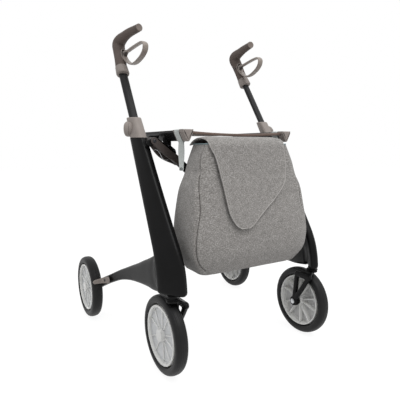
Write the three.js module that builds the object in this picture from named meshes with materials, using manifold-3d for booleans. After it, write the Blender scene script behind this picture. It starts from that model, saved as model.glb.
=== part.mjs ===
// A folding four-wheeled rollator, in millimetres.
// +Z is up, the rollator faces -Y, and the user's left side is +X.
// The origin is on the floor, midway between the wheels.
// Each paired piece is built for the +X side, and the other side is its mirror image.

import * as THREE from 'three';
import { mergeVertices } from 'three/addons/utils/BufferGeometryUtils.js';
import Module from 'manifold-3d';

const wasm = await Module();
wasm.setup();

const degree = Math.PI / 180;
const between = (value, from, to) => from + (to - from) * value;
const point = (x, y, z) => new THREE.Vector3(x, y, z);

// Clearances and cutting
const seatGap = 0.3;          // between two pieces that rest on each other
const runningGap = 0.35;      // round a pin in its hole
const slideGap = 0.4;         // round the handle tube in its bore
const overrun = 2;            // how far a cutting tool runs past the face it cuts
const weldDistance = 0.0001;
const roundSides = 16;
const halfRoundSteps = 8;
const roundness = 2.6;        // exponent of the rounded oblong sections

// Driving sizes
const wheelRadius = 100;
const frontHalfTrack = 232.9;
const rearHalfTrack = 294.5;
const headY = -266.3;             // the axis about which a caster turns
const rearAxleY = 225.4;
const railTop = 608;              // height of the seat

// Wheels
const casterTrail = 40.9;         // from that axis back to the front axle
const frontAxleY = headY + casterTrail;
const tyreHalfWidth = 16.5;
const tyreDepth = 24.5;
const tyreSeatRadius = wheelRadius - tyreDepth;
const rimHalfWidth = 14;
const rimBandDepth = 8.5;
const hubRadius = 15;
const hubHalfWidth = 16;
const ribPairs = 5;
const firstPairAngle = 21 * degree;
const ribSpreadAtHub = 26 * degree;
const ribSpreadAtRim = 20 * degree;
const ribThickness = 3.6;
const ribEndSteps = 2;
const ribDepth = 20;
const webThickness = 2.4;
const webInset = 5;               // from the outer face of the rim to the outer face of the web
const ribRootShare = 0.8;       // how far out in the hub a rib starts
const axleRadius = 5;
const axleCapRadius = 7.5;
const axleCapThickness = 2.4;
const wheelSteps = 36;
const tyreProfileSteps = 10;
const boltSides = 12;

// Front leg, with the caster foot at its lower end
const headInset = 0.7;            // from the middle of the wheel in to the axis of the caster
const headX = frontHalfTrack - headInset;
const footRise = 12;              // from the top of the wheel up to the foot
const footBottom = wheelRadius * 2 + footRise;
const legLean = 32.9 * degree;
const footBendRadius = 215;
const collarDrop = 18;            // from the top of the seat rails down to the collar
const collarHeight = 56;
const collarBottom = railTop - collarDrop;
const collarTop = collarBottom + collarHeight;
const legInsetAtCollar = 7;      // how far the top of the leg leans in towards the middle
const legHalfLengthTop = 25.5;
const legHalfLengthFoot = 38.5;
const legHalfWidthTop = 16;
const legHalfWidthFoot = 14;
const legTurnTop = 18 * degree;
const legTurnFoot = 36 * degree;
const legWideningRate = 1.25;     // the foot's length is reached before its lower end
const legTurningRate = 1.15;      // and so is its turn
const footFloorShare = 0.8;       // the rounded lower edge of the foot, as shares of its radius
const footEdgeShare = 0.3;
const footRounding = 6;
const legRings = 12;
const sectionPoints = 18;

// Rear leg
const rearLegStartBack = 26.3;    // behind the axis of the caster
const rearLegStartY = headY + rearLegStartBack;
const rearLegRootRise = 38;       // above the foot
const rearLegRootHeight = footBottom + rearLegRootRise;
const rearLegRootHalfHeight = 46;
const rearLegRootOutset = 3.8;
const rearLegRootX = headX + rearLegRootOutset;
const rearLegEndInset = 27.5;     // from the middle of the wheel
const rearLegEndX = rearHalfTrack - rearLegEndInset;
const rearLegHalfWidth = 15;
const rearBossRadius = 23;
const rearBossSides = 28;
const rearBossInset = 37.5;
const rearBossInnerX = rearHalfTrack - rearBossInset;
const rearLegAlongShares = [0, 0.055, 0.11, 0.17, 0.235, 0.31, 0.4, 0.48, 0.565, 0.7, 0.826, 1];
const rearLegHeightShares = [1.08, 1.05, 1, 0.955, 0.905, 0.84, 0.763, 0.685, 0.593, 0.413, 0.24, 0];
const rearLegHalfHeightShares = [1.08, 1.08, 0.99, 0.85, 0.735, 0.61, 0.49, 0.405, 0.35, 0.31, 0.32, 0.36];
const rearLegXShares = [0, 0.06, 0.14, 0.18, 0.22, 0.26, 0.35, 0.45, 0.57, 0.8, 0.93, 1];
const rearLegWidthShares = [1, 1, 0.96, 0.92, 0.9, 0.87, 0.78, 0.72, 0.68, 0.63, 0.6, 0.58];

// Collar and its height knob
const collarHalfLengthBottom = 27;
const collarHalfLengthTop = 24;
const collarHalfWidthBottom = 17.5;
const collarHalfWidthTop = 15.5;
const collarEdge = 3;
const collarRoundness = 4;
const knobTurn = 36 * degree;     // from straight out at the side towards the rear
const knobRadius = 19;
const knobDepth = 15;
const knobStart = 17;             // from the collar's centre line to the back of the knob
const knobHeightShare = 0.42;
const knobShankRadius = 4;
const knobShankLength = 3.2;
const knobEdge = 5;
const knobSteps = 4;
const knobSides = 24;

// Handle tube, which slides in the collar and leg
const tubeHalfWide = 12;
const tubeHalfDeep = 6.8;
const tubeWall = 1.6;
const tubeTurn = 12 * degree;
const tubeLean = 33.8 * degree;
const tubeInset = 1.95 * degree;
const tubeVisible = 152;
const tubeInBand = 18;
const tubeInserted = 100;
const tubeDrop = 90;              // how far the handle can be pushed down

// Grip
const bandHeight = 28;
const bandRadius = 17.5;
const bandFootShare = 0.88;       // radius of the band's lower end
const bandFlareShare = 0.16;      // height at which the full radius is reached
const bandSteps = 18;
const gripStemInset = 4.6;
const gripStemBack = 27.3;
const gripStemRise = 50.5;
const gripBendInset = 8.1;
const gripBendBack = 38.3;
const gripBendRise = 75.5;
const gripPalmInset = 14.1;
const gripPalmAhead = 9.1;
const gripPalmRise = 91;
const gripEndInset = 26.3;
const gripEndAhead = 75.1;
const gripEndRise = 97.6;
const gripStemRadius = 16.5;
const gripRadiusShares = [1.02, 0.98, 1, 1.08, 1.13, 1.05, 0.93, 0.86, 0.82, 0.8, 0.8];
const gripSteps = 15;
const gripCapThickness = 2.2;
const gripCapDepthShares = [0.6, 1];
const gripCapRadiusShares = [0.97, 0.85];
const slotHalfHeight = 17;
const slotHalfWidth = 9.5;
const slotDepth = 15;

// Brake lever, a closed loop
const leverToe = 5.6 * degree;
const leverPivotInset = 9.8;      // from the top of the band, as for the grip
const leverPivotBack = 17.3;
const leverPivotRise = 38.5;
const leverReach = 144;           // from the pivot to the tip of the loop
const leverBandWidth = 15;
const leverBandThickness = 4;
const leverLoopPointsPerShare = 3;
const leverPinRadius = 2.5;
const leverLoopForwardShares = [0.1, 0.28, 0.55, 0.78, 0.92, 0.995, 0.985, 0.9, 0.75, 0.57, 0.42, 0.27, 0.15];
const leverLoopHeightShares = [
  0.03, 0.041, 0.042, 0.04, 0.024, -0.05, -0.13, -0.182, -0.228, -0.26, -0.255, -0.193, -0.1,
];
const leverTongueHalfHeight = 9;
const leverTongueLength = 21;

// Caster fork
const forkStemRadius = 9;
const forkStemInLeg = 46;
const crownDrop = 4;              // from the foot down to the crown
const crownThickness = 9.4;
const crownTop = footBottom - crownDrop;
const crownBottom = crownTop - crownThickness;
const crownRadius = 17;
const crownInnerShare = 1.15;     // radius of the crown's inner end
const shoulderShare = 0.7;        // radius of the crown's shoulder at the stem
const forkBarEndSteps = 5;
const forkInset = 34.9;           // from the middle of the wheel in to the inner face
const forkThickness = 12;
const forkInnerX = frontHalfTrack - forkInset;
const forkOuterX = forkInnerX + forkThickness;
const forkBarWidthTop = 17;
const forkBarWidthHub = 13;
const forkTopAhead = 24.7;        // of the axis of the caster
const forkTopBack = 30.3;
const forkFrontTopDrop = 15;      // from the foot
const forkRearTopDrop = 21;
const forkFrontTopY = headY - forkTopAhead;
const forkFrontTopZ = footBottom - forkFrontTopDrop;
const forkRearTopY = headY + forkTopBack;
const forkRearTopZ = footBottom - forkRearTopDrop;
const forkHubRadius = 14.5;
const washerRadius = 15;

// Heights on the front leg
const railHeight = 26;
const railBottom = railTop - railHeight;
const linkPivotDrop = 27;         // from the top of the rail
const linkPivotZ = railTop - linkPivotDrop;

// Folding cross, between the two rear legs and the seat rails
const crossAhead = 36.35;         // from the middle of the front leg to the plane of the cross
const crossY = legCentre(linkPivotZ)[1] - crossAhead;
const strutThickness = 8;
const strutGap = 0.5;
const strutHalfWidth = 11;
const crossFootInset = 27.2;      // from the axis of the caster
const crossFootX = headX - crossFootInset;
const crossFootRise = 12.4;       // above the middle of the rear leg
const crossFootZ = rearLegAt(rearLegShareAt(crossY)).z + crossFootRise;
const railInset = 72.2;           // from the axis of the caster
const railHalfTrack = headX - railInset;
const strutTopDrop = 31.2;        // from the underside of the rail to the pivot
const strutTopZ = railBottom - strutTopDrop;
const crossCentreZ = between(crossFootX / (crossFootX + railHalfTrack), crossFootZ, strutTopZ);
const pivotRadius = 4;
const boltHeadRadius = 7.5;
const boltHeadThickness = 3;
const clevisWall = 5;
const clevisRadius = 11;
const clevisGap = 1.2;
const clevisReach = 30;           // from the pivot out into the rear leg

// Folding link and its bracket on the front leg
const linkPivotInset = 26.7;      // from the axis of the caster
const linkPivotX = headX - linkPivotInset;
const linkSpan = 76.8;            // from the pivot in to the end of the link
const linkEndX = linkPivotX - linkSpan;
const linkCheekThickness = 4.5;
const linkCheekOffset = 10.6;     // from the middle plane to the inner face of a cheek
const linkHalfWidthTop = 12;
const linkHalfWidthEnd = 11;
const linkBow = 3;
const cheekSteps = 7;
const linkSpacerRadius = 4.5;
const linkSpacerAlong = 24;
const linkBracketRadius = 9;
const linkBracketReach = 24;
const linkReliefGap = 1.8;
const latchStartShare = 0.02;
const latchEndShare = 0.7;
const latchRise = 11;
const latchRiseShares = [0.25, 0.6, 1, 1, 0.85, 0.6, 0.35];
const latchSteps = latchRiseShares.length - 1;

// Seat rails
const railHalfWidth = 13.5;
const railEdge = 4;
const railFrontAhead = 92;        // of the cross
const railLength = 227;
const railFrontY = crossY - railFrontAhead;
const railRearY = railFrontY + railLength;
const railCapLength = 30;
const railCapGrow = 1.2;
const railLugHalfWidth = 11;
const restHalfThickness = 5;
const restBack = 31;              // behind the cross
const restY = crossY + restBack;
const restOutset = 8;             // from the middle of the rail
const restInnerX = railHalfTrack + restOutset;
const restInset = 10.2;           // from the axis of the caster
const restOuterX = headX - restInset;
const restHeight = 31;
const restTopDrop = 11;           // from the top of the rail
const restTop = railTop - restTopDrop;
const restBottom = restTop - restHeight;

// Seat sling
const slingThickness = 2.4;
const slingSag = 5;
const slingOverhang = 11;         // ahead of the rails
const slingFrontY = railFrontY - slingOverhang;
const slingRearInset = 10;
const slingRearY = railRearY - slingRearInset;
const slingSteps = 12;

// Bag under the front of the seat
const bagBottom = 252;
const bagTopDrop = 36;            // from the top of the rails
const bagTop = railTop - bagTopDrop;
const bagFrontAhead = 103;        // of the front ends of the rails
const bagBackBehind = 31;
const bagFrontY = railFrontY - bagFrontAhead;
const bagBackY = railFrontY + bagBackBehind;
const bagOutset = 12;             // from the middle of the rails
const bagHalfWidth = railHalfTrack + bagOutset;
const bagSoleDrop = 4;
const bagSoleShare = 0.94;
const bagRings = 10;
const bagPoints = 32;
const bagRoundness = 8;
const bagWall = 2.6;
const bagWidthShares = [0.874, 0.96, 0.98, 0.975, 0.955, 0.92, 0.9, 0.865, 0.805, 0.74];
const bagFrontShares = [0.63, 0.91, 0.985, 0.95, 0.87, 0.75, 0.64, 0.53, 0.46, 0.4];
const bagBackShares = [0.8, 0.95, 1, 1, 1, 0.97, 0.93, 0.9, 0.9, 0.9];
const bagEarHalfWidth = 6;
const bagEarHalfHeight = 7;
const bagEarRise = 6;             // from the end of the strap up to the middle of the ear

// Flap of the bag, from the back of the mouth over the top and down the front
const flapThickness = 4;
const flapStandOff = 1.5;
const flapTopDrop = 16;           // from the top of the rails
const flapTop = railTop - flapTopDrop;
const flapTipRise = 114;          // above the underside of the bag
const flapTip = bagBottom + flapTipRise;
const flapInset = 42;
const flapHalfWidth = bagHalfWidth - flapInset;
const flapBackInset = 8;
const flapBackY = bagBackY - flapBackInset;
const flapSteps = 12;
const flapCornerShare = 0.93;
const flapTopYShares = [0, 0.12, 0.4, 0.7, 0.9];
const flapTopHeightShares = [0.93, 0.965, 1, 0.995, 0.965];
const flapTopLeftShares = [-0.9, -0.95, -1, -1, -1];
const flapTopRightShares = [0.88, 0.92, 0.96, 0.96, 0.95];
const flapHeightShares = [0.907, 0.788, 0.61, 0.473, 0.283, 0.19, 0.106, 0.031, 0.002];
const flapLeftShares = [-0.96, -0.815, -0.746, -0.7, -0.64, -0.61, -0.55, -0.446, -0.35];
const flapRightShares = [0.92, 0.907, 0.888, 0.846, 0.615, 0.385, 0.17, -0.09, -0.26];

// Strap round the front end of each rail
const strapWidth = 20;
const strapThickness = 1.6;
const strapInset = 15;            // behind the front ends of the rails
const strapY = railFrontY + strapInset;
const strapLength = 92;
const strapTailHalfWidth = 7;
const strapEndHalfWidth = 5;
const strapTwist = 40 * degree;
const strapRivetRadius = 2.6;
const strapRivetRise = 8;         // from the end of the tail up to the hole
const strapRivetSides = 10;

// Rear brake
const brakeAngle = 24 * degree;   // of the shoe in front of the wheel, above level
const brakeOutset = 14.5;         // from the middle of the wheel
const brakeOuterX = rearHalfTrack + brakeOutset;
const brakeHalfHeight = 9;
const brakeHalfThickness = 3.4;
const brakeTravel = 4.2;
const brakeTabThickness = 3.6;
const brakeTabFrontAway = 63;     // from the tread
const brakeTabRearAway = 12.7;
const brakeTabFrontRadius = 8;
const brakeTabRearRadius = 9.5;
const brakeScrewAway = 27;
const brakeStandOff = 2;          // from the outer face of the leg
const [brakeTabFrontY, brakeTabFrontZ] = brakePlace(brakeTabFrontAway);
const [brakeTabRearY, brakeTabRearZ] = brakePlace(brakeTabRearAway);
const [brakeScrewY, brakeScrewZ] = brakePlace(brakeScrewAway);
const brakeInnerX = Math.max(rearLegOuterX(brakeTabFrontY), rearLegOuterX(brakeTabRearY)) + brakeStandOff;
const brakeScrewInLeg = 10;
const brakeScrewRadius = 2.5;
const brakeScrewHead = 5;
const brakeScrewHeadThickness = 1.8;

// Colours
const satinBlack = new THREE.MeshStandardMaterial({ color: 0x1c1c1e, roughness: 0.5, metalness: 0.0 });
const tubeBlack = new THREE.MeshStandardMaterial({ color: 0x2b2b2d, roughness: 0.45, metalness: 0.3 });
const taupe = new THREE.MeshStandardMaterial({ color: 0x958c87, roughness: 0.55, metalness: 0.1 });
const darkTaupe = new THREE.MeshStandardMaterial({ color: 0x544b48, roughness: 0.5, metalness: 0.2 });
const gripBrown = new THREE.MeshStandardMaterial({ color: 0x5c534f, roughness: 0.75, metalness: 0.0 });
const rimWhite = new THREE.MeshStandardMaterial({ color: 0xdcdcda, roughness: 0.4, metalness: 0.0 });
const tyreBlack = new THREE.MeshStandardMaterial({ color: 0x1e1e20, roughness: 0.8, metalness: 0.0 });
const steel = new THREE.MeshStandardMaterial({ color: 0xb9bbbd, roughness: 0.3, metalness: 1.0 });
const darkSteel = new THREE.MeshStandardMaterial({ color: 0x4c4e50, roughness: 0.35, metalness: 0.9 });
const slingCloth = new THREE.MeshStandardMaterial({ color: 0x4a403b, roughness: 0.9, metalness: 0.0 });
const greyFelt = new THREE.MeshStandardMaterial({ color: 0x8b8683, roughness: 0.95, metalness: 0.0 });
const paleStrap = new THREE.MeshStandardMaterial({ color: 0xc6c9c7, roughness: 0.8, metalness: 0.0 });

const rollator = new THREE.Group();

// Solids from geometry and back

function toSolid(geometry) {
  const bare = geometry.clone();
  bare.deleteAttribute('normal');
  bare.deleteAttribute('uv');
  const merged = mergeVertices(bare, weldDistance);
  return new wasm.Manifold(new wasm.Mesh({
    numProp: 3,
    vertProperties: new Float32Array(merged.attributes.position.array),
    triVerts: new Uint32Array(merged.index.array),
  }));
}

function toGeometry(solid) {
  const mesh = solid.getMesh();
  const geometry = new THREE.BufferGeometry();
  geometry.setAttribute('position', new THREE.BufferAttribute(new Float32Array(mesh.vertProperties), 3));
  geometry.setIndex(new THREE.BufferAttribute(new Uint32Array(mesh.triVerts), 1));
  return geometry;
}

function joined(first, ...others) {
  return others.reduce((whole, other) => whole.add(toSolid(other)), toSolid(first));
}

function cut(solid, ...tools) {
  return toGeometry(tools.reduce((rest, tool) => rest.subtract(toSolid(tool)), solid));
}

function signedVolume(positions, triangles) {
  let sum = 0;
  for (let i = 0; i < triangles.length; i += 3) {
    const [a, b, c] = [0, 1, 2].map((k) => new THREE.Vector3().fromArray(positions, triangles[i + k] * 3));
    sum += a.dot(b.cross(c));
  }
  return sum;
}

function fromTriangles(positions, triangles) {
  const facesOut = signedVolume(positions, triangles) > 0;
  const order = facesOut ? triangles : triangles.slice().reverse();
  const geometry = new THREE.BufferGeometry();
  geometry.setAttribute('position', new THREE.Float32BufferAttribute(positions, 3));
  geometry.setIndex(order);
  return geometry;
}

// A skin over rings of points with the same count, closed by a fan at each end.
function loft(rings) {
  const count = rings[0].length;
  const positions = [];
  rings.forEach((ring) => ring.forEach((p) => positions.push(p.x, p.y, p.z)));
  const triangles = [];
  for (let i = 0; i + 1 < rings.length; i += 1) {
    for (let j = 0; j < count; j += 1) {
      const next = (j + 1) % count;
      const [a, b] = [i * count + j, i * count + next];
      const [c, d] = [a + count, b + count];
      triangles.push(a, b, d, a, d, c);
    }
  }
  [[0, true], [rings.length - 1, false]].forEach(([ringIndex, flipped]) => {
    const middle = rings[ringIndex].reduce((sum, p) => sum.add(p), point(0, 0, 0)).divideScalar(count);
    const hub = positions.length / 3;
    positions.push(middle.x, middle.y, middle.z);
    for (let j = 0; j < count; j += 1) {
      const [a, b] = [ringIndex * count + j, ringIndex * count + ((j + 1) % count)];
      triangles.push(...(flipped ? [hub, b, a] : [hub, a, b]));
    }
  });
  return fromTriangles(positions, triangles);
}

// Unit outline of a rounded oblong: cosine and sine raised to a power below one.
function oblong(count, exponent) {
  return Array.from({ length: count }, (_, i) => {
    const angle = (i + 0.5) / count * 2 * Math.PI;
    const [c, s] = [Math.cos(angle), Math.sin(angle)];
    return [
      Math.sign(c) * Math.abs(c) ** (2 / exponent),
      Math.sign(s) * Math.abs(s) ** (2 / exponent),
    ];
  });
}

// A level ring whose long axis is turned from straight ahead towards the middle.
function levelRing(x, y, z, halfLength, halfWidth, turn, exponent = roundness) {
  return oblong(sectionPoints, exponent).map(([along, across]) => point(
    x - Math.sin(turn) * along * halfLength + Math.cos(turn) * across * halfWidth,
    y - Math.cos(turn) * along * halfLength - Math.sin(turn) * across * halfWidth,
    z,
  ));
}

// Turns an extrusion drawn in a plane so that it runs from low to high along one axis.
function extrudeAlong(axis, shape, low, high, steps = halfRoundSteps) {
  const geometry = new THREE.ExtrudeGeometry(shape, {
    depth: high - low, bevelEnabled: false, curveSegments: steps,
  });
  const frames = {
    x: new THREE.Matrix4().makeBasis(point(0, 1, 0), point(0, 0, 1), point(1, 0, 0)).setPosition(low, 0, 0),
    y: new THREE.Matrix4().makeBasis(point(1, 0, 0), point(0, 0, 1), point(0, -1, 0)).setPosition(0, high, 0),
    z: new THREE.Matrix4().setPosition(0, 0, low),
  };
  return geometry.applyMatrix4(frames[axis]);
}

function outline(pairs) {
  return new THREE.Shape(pairs.map(([u, v]) => new THREE.Vector2(u, v)));
}

function rod(from, to, radius, sides = roundSides) {
  const way = new THREE.Vector3().subVectors(to, from);
  const geometry = new THREE.CylinderGeometry(radius, radius, way.length(), sides);
  const turn = new THREE.Quaternion().setFromUnitVectors(point(0, 1, 0), way.clone().normalize());
  const middle = new THREE.Vector3().addVectors(from, to).multiplyScalar(0.5);
  return geometry.applyQuaternion(turn).translate(middle.x, middle.y, middle.z);
}

// A flat bar with round ends between two points of a plane, as an outline.
function roundBar(start, end, startRadius, endRadius, steps = halfRoundSteps) {
  const angle = Math.atan2(end[1] - start[1], end[0] - start[0]);
  const arc = (centre, radius, first) => Array.from({ length: steps + 1 }, (_, i) => {
    const a = first + i / steps * Math.PI;
    return [centre[0] + radius * Math.cos(a), centre[1] + radius * Math.sin(a)];
  });
  return outline([
    ...arc(start, startRadius, angle + Math.PI / 2),
    ...arc(end, endRadius, angle - Math.PI / 2),
  ]);
}

function mirrored(geometry) {
  const copy = geometry.index ? geometry.toNonIndexed() : geometry.clone();
  const places = copy.attributes.position;
  for (let i = 0; i < places.count; i += 3) {
    const corners = [0, 1, 2].map((k) => point(-places.getX(i + k), places.getY(i + k), places.getZ(i + k)));
    [corners[0], corners[2], corners[1]].forEach((p, k) => places.setXYZ(i + k, p.x, p.y, p.z));
  }
  return copy;
}

function add(name, geometry, material) {
  const mesh = new THREE.Mesh(geometry, material);
  mesh.name = name;
  rollator.add(mesh);
}

function addPair(name, geometry, material) {
  add(`${name}_left`, geometry, material);
  add(`${name}_right`, mirrored(geometry), material);
}

// Wheels

// Turns a wheel's profile about the axle, with one flat of the many-sided round lying at the bottom.
function turnWheel(profile) {
  const flatToCorner = 1 / Math.cos(Math.PI / wheelSteps);
  const corners = profile.map(([radius, along]) => new THREE.Vector2(radius * flatToCorner, along));
  corners.push(corners[0].clone());
  return new THREE.LatheGeometry(corners, wheelSteps)
    .rotateZ(-Math.PI / 2)
    .rotateX(Math.PI / wheelSteps);
}

function tyre(centreX, centreY) {
  const middleRadius = (tyreSeatRadius + wheelRadius) / 2;
  const halfDepth = (wheelRadius - tyreSeatRadius) / 2;
  const section = oblong(tyreProfileSteps, roundness);
  const reach = Math.max(...section.map(([across]) => across));
  const widest = Math.max(...section.map(([, along]) => along));
  return turnWheel(section.map(([across, along]) => (
    [middleRadius + across / reach * halfDepth, along / widest * tyreHalfWidth]
  ))).translate(centreX, centreY, wheelRadius);
}

function rimRing(outerRadius, innerRadius, halfWidth) {
  return turnWheel([
    [innerRadius, -halfWidth], [outerRadius, -halfWidth], [outerRadius, halfWidth], [innerRadius, halfWidth],
  ]);
}

function rib(pairAngle, side) {
  const hubAngle = pairAngle + side * ribSpreadAtHub;
  const rimAngle = pairAngle + side * ribSpreadAtRim;
  const rimReach = tyreSeatRadius - seatGap - rimBandDepth / 2;
  const start = [Math.sin(hubAngle) * hubRadius * ribRootShare, Math.cos(hubAngle) * hubRadius * ribRootShare];
  const end = [Math.sin(rimAngle) * rimReach, Math.cos(rimAngle) * rimReach];
  const bar = roundBar(start, end, ribThickness / 2, ribThickness / 2, ribEndSteps);
  return extrudeAlong('x', bar, -ribDepth / 2, ribDepth / 2);
}

function rim(centreX, centreY) {
  const outer = tyreSeatRadius - seatGap;
  const hub = rod(point(-hubHalfWidth, 0, 0), point(hubHalfWidth, 0, 0), hubRadius);
  const ribs = Array.from({ length: ribPairs * 2 }, (_, i) => {
    const pairAngle = firstPairAngle + Math.floor(i / 2) / ribPairs * 2 * Math.PI;
    return rib(pairAngle, i % 2 ? 1 : -1);
  });
  const bore = rod(
    point(-hubHalfWidth - overrun, 0, 0), point(hubHalfWidth + overrun, 0, 0), axleRadius + runningGap,
  );
  const web = rod(
    point(rimHalfWidth - webInset - webThickness, 0, 0), point(rimHalfWidth - webInset, 0, 0),
    outer - rimBandDepth / 2, wheelSteps,
  );
  const whole = joined(rimRing(outer, outer - rimBandDepth, rimHalfWidth), web, hub, ...ribs);
  return cut(whole, bore).translate(centreX, centreY, wheelRadius);
}

function axle(innerX, wheelX, y) {
  const outerEnd = wheelX + hubHalfWidth + seatGap;
  const shaft = rod(point(innerX, y, wheelRadius), point(outerEnd, y, wheelRadius), axleRadius);
  const cap = rod(
    point(outerEnd, y, wheelRadius), point(outerEnd + axleCapThickness, y, wheelRadius), axleCapRadius,
  );
  return toGeometry(joined(shaft, cap));
}

function addWheels() {
  addPair('front_tyre', tyre(frontHalfTrack, frontAxleY), tyreBlack);
  addPair('front_rim', rim(frontHalfTrack, frontAxleY), rimWhite);
  const forkFace = forkInnerX - seatGap - axleCapThickness;
  const innerCap = rod(
    point(forkFace, frontAxleY, wheelRadius),
    point(forkInnerX - seatGap, frontAxleY, wheelRadius),
    axleCapRadius,
  );
  addPair(
    'front_axle',
    toGeometry(joined(axle(forkFace + overrun / 2, frontHalfTrack, frontAxleY), innerCap)),
    steel,
  );
  addPair('rear_tyre', tyre(rearHalfTrack, rearAxleY), tyreBlack);
  addPair('rear_rim', rim(rearHalfTrack, rearAxleY), rimWhite);
  addPair('rear_axle', axle(rearBossInnerX + overrun, rearHalfTrack, rearAxleY), steel);
}

// Side frame

// Centre of the front leg at a height: an arc that rises from the foot into a straight lean.
function legCentre(z) {
  const rise = z - footBottom;
  const bendRise = footBendRadius * Math.sin(legLean);
  const back = rise < bendRise
    ? footBendRadius - Math.sqrt(footBendRadius ** 2 - rise ** 2)
    : footBendRadius * (1 - Math.cos(legLean)) + (rise - bendRise) * Math.tan(legLean);
  const share = rise / (collarTop - footBottom);
  return [headX - legInsetAtCollar * share ** 2, headY + back];
}

function legShareAt(z) {
  return (collarBottom - z) / (collarBottom - footBottom);
}

function legRing(z, shrink = 0) {
  const [x, y] = legCentre(z);
  const share = legShareAt(z);
  return levelRing(
    x, y, z,
    between(Math.min(share * legWideningRate, 1), legHalfLengthTop, legHalfLengthFoot) - shrink,
    between(share, legHalfWidthTop, legHalfWidthFoot) - shrink,
    between(Math.min(share * legTurningRate, 1), legTurnTop, legTurnFoot),
  );
}

function frontLeg() {
  const top = collarBottom - seatGap;
  const rings = Array.from({ length: legRings + 1 }, (_, i) => (
    legRing(between(i / legRings, footBottom + footRounding, top))
  ));
  return loft([
    legRing(footBottom, footRounding * footFloorShare),
    legRing(footBottom + footRounding * footEdgeShare, footRounding * footEdgeShare),
    ...rings,
  ]);
}

function rearLegShareAt(y) {
  return (y - rearLegStartY) / (rearAxleY - rearLegStartY);
}

// Centre and half sizes of the rear leg at a share of its length, straight between its rings.
function rearLegAt(along) {
  const last = Math.max(1, rearLegAlongShares.findIndex((share) => share >= along));
  const [from, to] = [rearLegAlongShares[last - 1], rearLegAlongShares[last]];
  const read = (shares) => between((along - from) / (to - from), shares[last - 1], shares[last]);
  return {
    x: between(read(rearLegXShares), rearLegRootX, rearLegEndX),
    y: between(along, rearLegStartY, rearAxleY),
    z: between(read(rearLegHeightShares), wheelRadius, rearLegRootHeight),
    halfHeight: read(rearLegHalfHeightShares) * rearLegRootHalfHeight,
    halfWidth: read(rearLegWidthShares) * rearLegHalfWidth,
  };
}

function rearLegOuterX(y) {
  const { x, halfWidth } = rearLegAt(rearLegShareAt(y));
  return x + halfWidth;
}

function rearLeg() {
  return loft(rearLegAlongShares.map(rearLegAt).map(({ x, y, z, halfHeight, halfWidth }) => (
    oblong(sectionPoints, roundness).map(([up, across]) => point(x + across * halfWidth, y, z + up * halfHeight))
  )));
}

// Direction in which the handle tube runs up from the collar.
function tubeDirection() {
  return point(-Math.tan(tubeInset), Math.tan(tubeLean), 1).normalize();
}

function collarTopCentre() {
  const [x, y] = legCentre(collarTop);
  return point(x, y, collarTop);
}

function alongTube(distance) {
  return collarTopCentre().addScaledVector(tubeDirection(), distance);
}

function tubeRing(distance, grow) {
  const middle = alongTube(distance);
  const up = tubeDirection();
  const wide = point(Math.cos(tubeTurn), -Math.sin(tubeTurn), 0);
  wide.addScaledVector(up, -wide.dot(up)).normalize();
  const deep = new THREE.Vector3().crossVectors(up, wide);
  return oblong(sectionPoints, roundness).map(([across, along]) => middle.clone()
    .addScaledVector(wide, across * (tubeHalfWide + grow))
    .addScaledVector(deep, along * (tubeHalfDeep + grow)));
}

function tubeBore() {
  const deepest = -(tubeInserted + tubeDrop + overrun);
  return loft([tubeRing(deepest, slideGap), tubeRing(tubeVisible / 2, slideGap)]);
}

function railShape(grow) {
  const [top, low, half] = [railTop + grow, railBottom - grow, railHalfWidth + grow];
  return outline([
    [railHalfTrack - half + railEdge, top], [railHalfTrack - half, top - railEdge],
    [railHalfTrack - railEdge, low + railEdge / 2], [railHalfTrack, low],
    [railHalfTrack + railEdge, low + railEdge / 2],
    [railHalfTrack + half, top - railEdge], [railHalfTrack + half - railEdge, top],
  ]);
}

function crossClevis() {
  const inner = strutThickness + clevisGap;
  const outer = inner + clevisWall;
  const bar = roundBar([crossFootX, crossFootZ], [crossFootX + clevisReach, crossFootZ], clevisRadius, clevisRadius);
  const block = extrudeAlong('y', bar, crossY - outer, crossY + outer);
  const slot = new THREE.BoxGeometry(clevisReach, inner * 2, clevisRadius * 4)
    .translate(crossFootX - clevisReach / 2 + clevisRadius + clevisGap, crossY, crossFootZ);
  return toSolid(block).subtract(toSolid(slot));
}

function linkBracket() {
  const half = linkCheekOffset - runningGap;
  const bar = roundBar(
    [linkPivotX, linkPivotZ], [linkPivotX + linkBracketReach, linkPivotZ - linkBracketReach / 2],
    linkBracketRadius, linkBracketRadius,
  );
  return extrudeAlong('y', bar, crossY - half, crossY + half);
}

// The collar's outline as a solid that runs past both its ends.
function collarSolid(grow, past) {
  return loft([collarBottom - past, collarTop + past].map((z) => {
    const [x, y] = legCentre(z);
    const share = (z - collarBottom) / (collarTop - collarBottom);
    return levelRing(
      x, y, z,
      between(share, collarHalfLengthBottom, collarHalfLengthTop) + grow,
      between(share, collarHalfWidthBottom, collarHalfWidthTop) + grow,
      legTurnTop, collarRoundness,
    );
  }));
}

// Room in the leg for the round end of the link's rear cheek and for its bolt head.
function linkRelief() {
  const near = crossY + linkCheekOffset - runningGap;
  const far = crossY + linkCheekOffset + linkCheekThickness + boltHeadThickness + seatGap * 2;
  return rod(
    point(linkPivotX, near, linkPivotZ), point(linkPivotX, far, linkPivotZ), linkHalfWidthTop + linkReliefGap, knobSides,
  );
}

function railRest() {
  const block = new THREE.BoxGeometry(restOuterX - restInnerX, restHalfThickness * 2, restTop - restBottom)
    .translate((restOuterX + restInnerX) / 2, restY, (restTop + restBottom) / 2);
  const underCollar = toSolid(collarSolid(seatGap, seatGap));
  const cradle = extrudeAlong('y', railShape(seatGap), restY - restHalfThickness * 2, restY + restHalfThickness * 2);
  const clear = new THREE.BoxGeometry(railHalfWidth * 2, restHalfThickness * 4, restTop - restBottom)
    .translate(railHalfTrack - railEdge, restY, restTop + railEdge);
  return toSolid(block).subtract(toSolid(cradle)).subtract(toSolid(clear)).subtract(underCollar);
}

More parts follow.
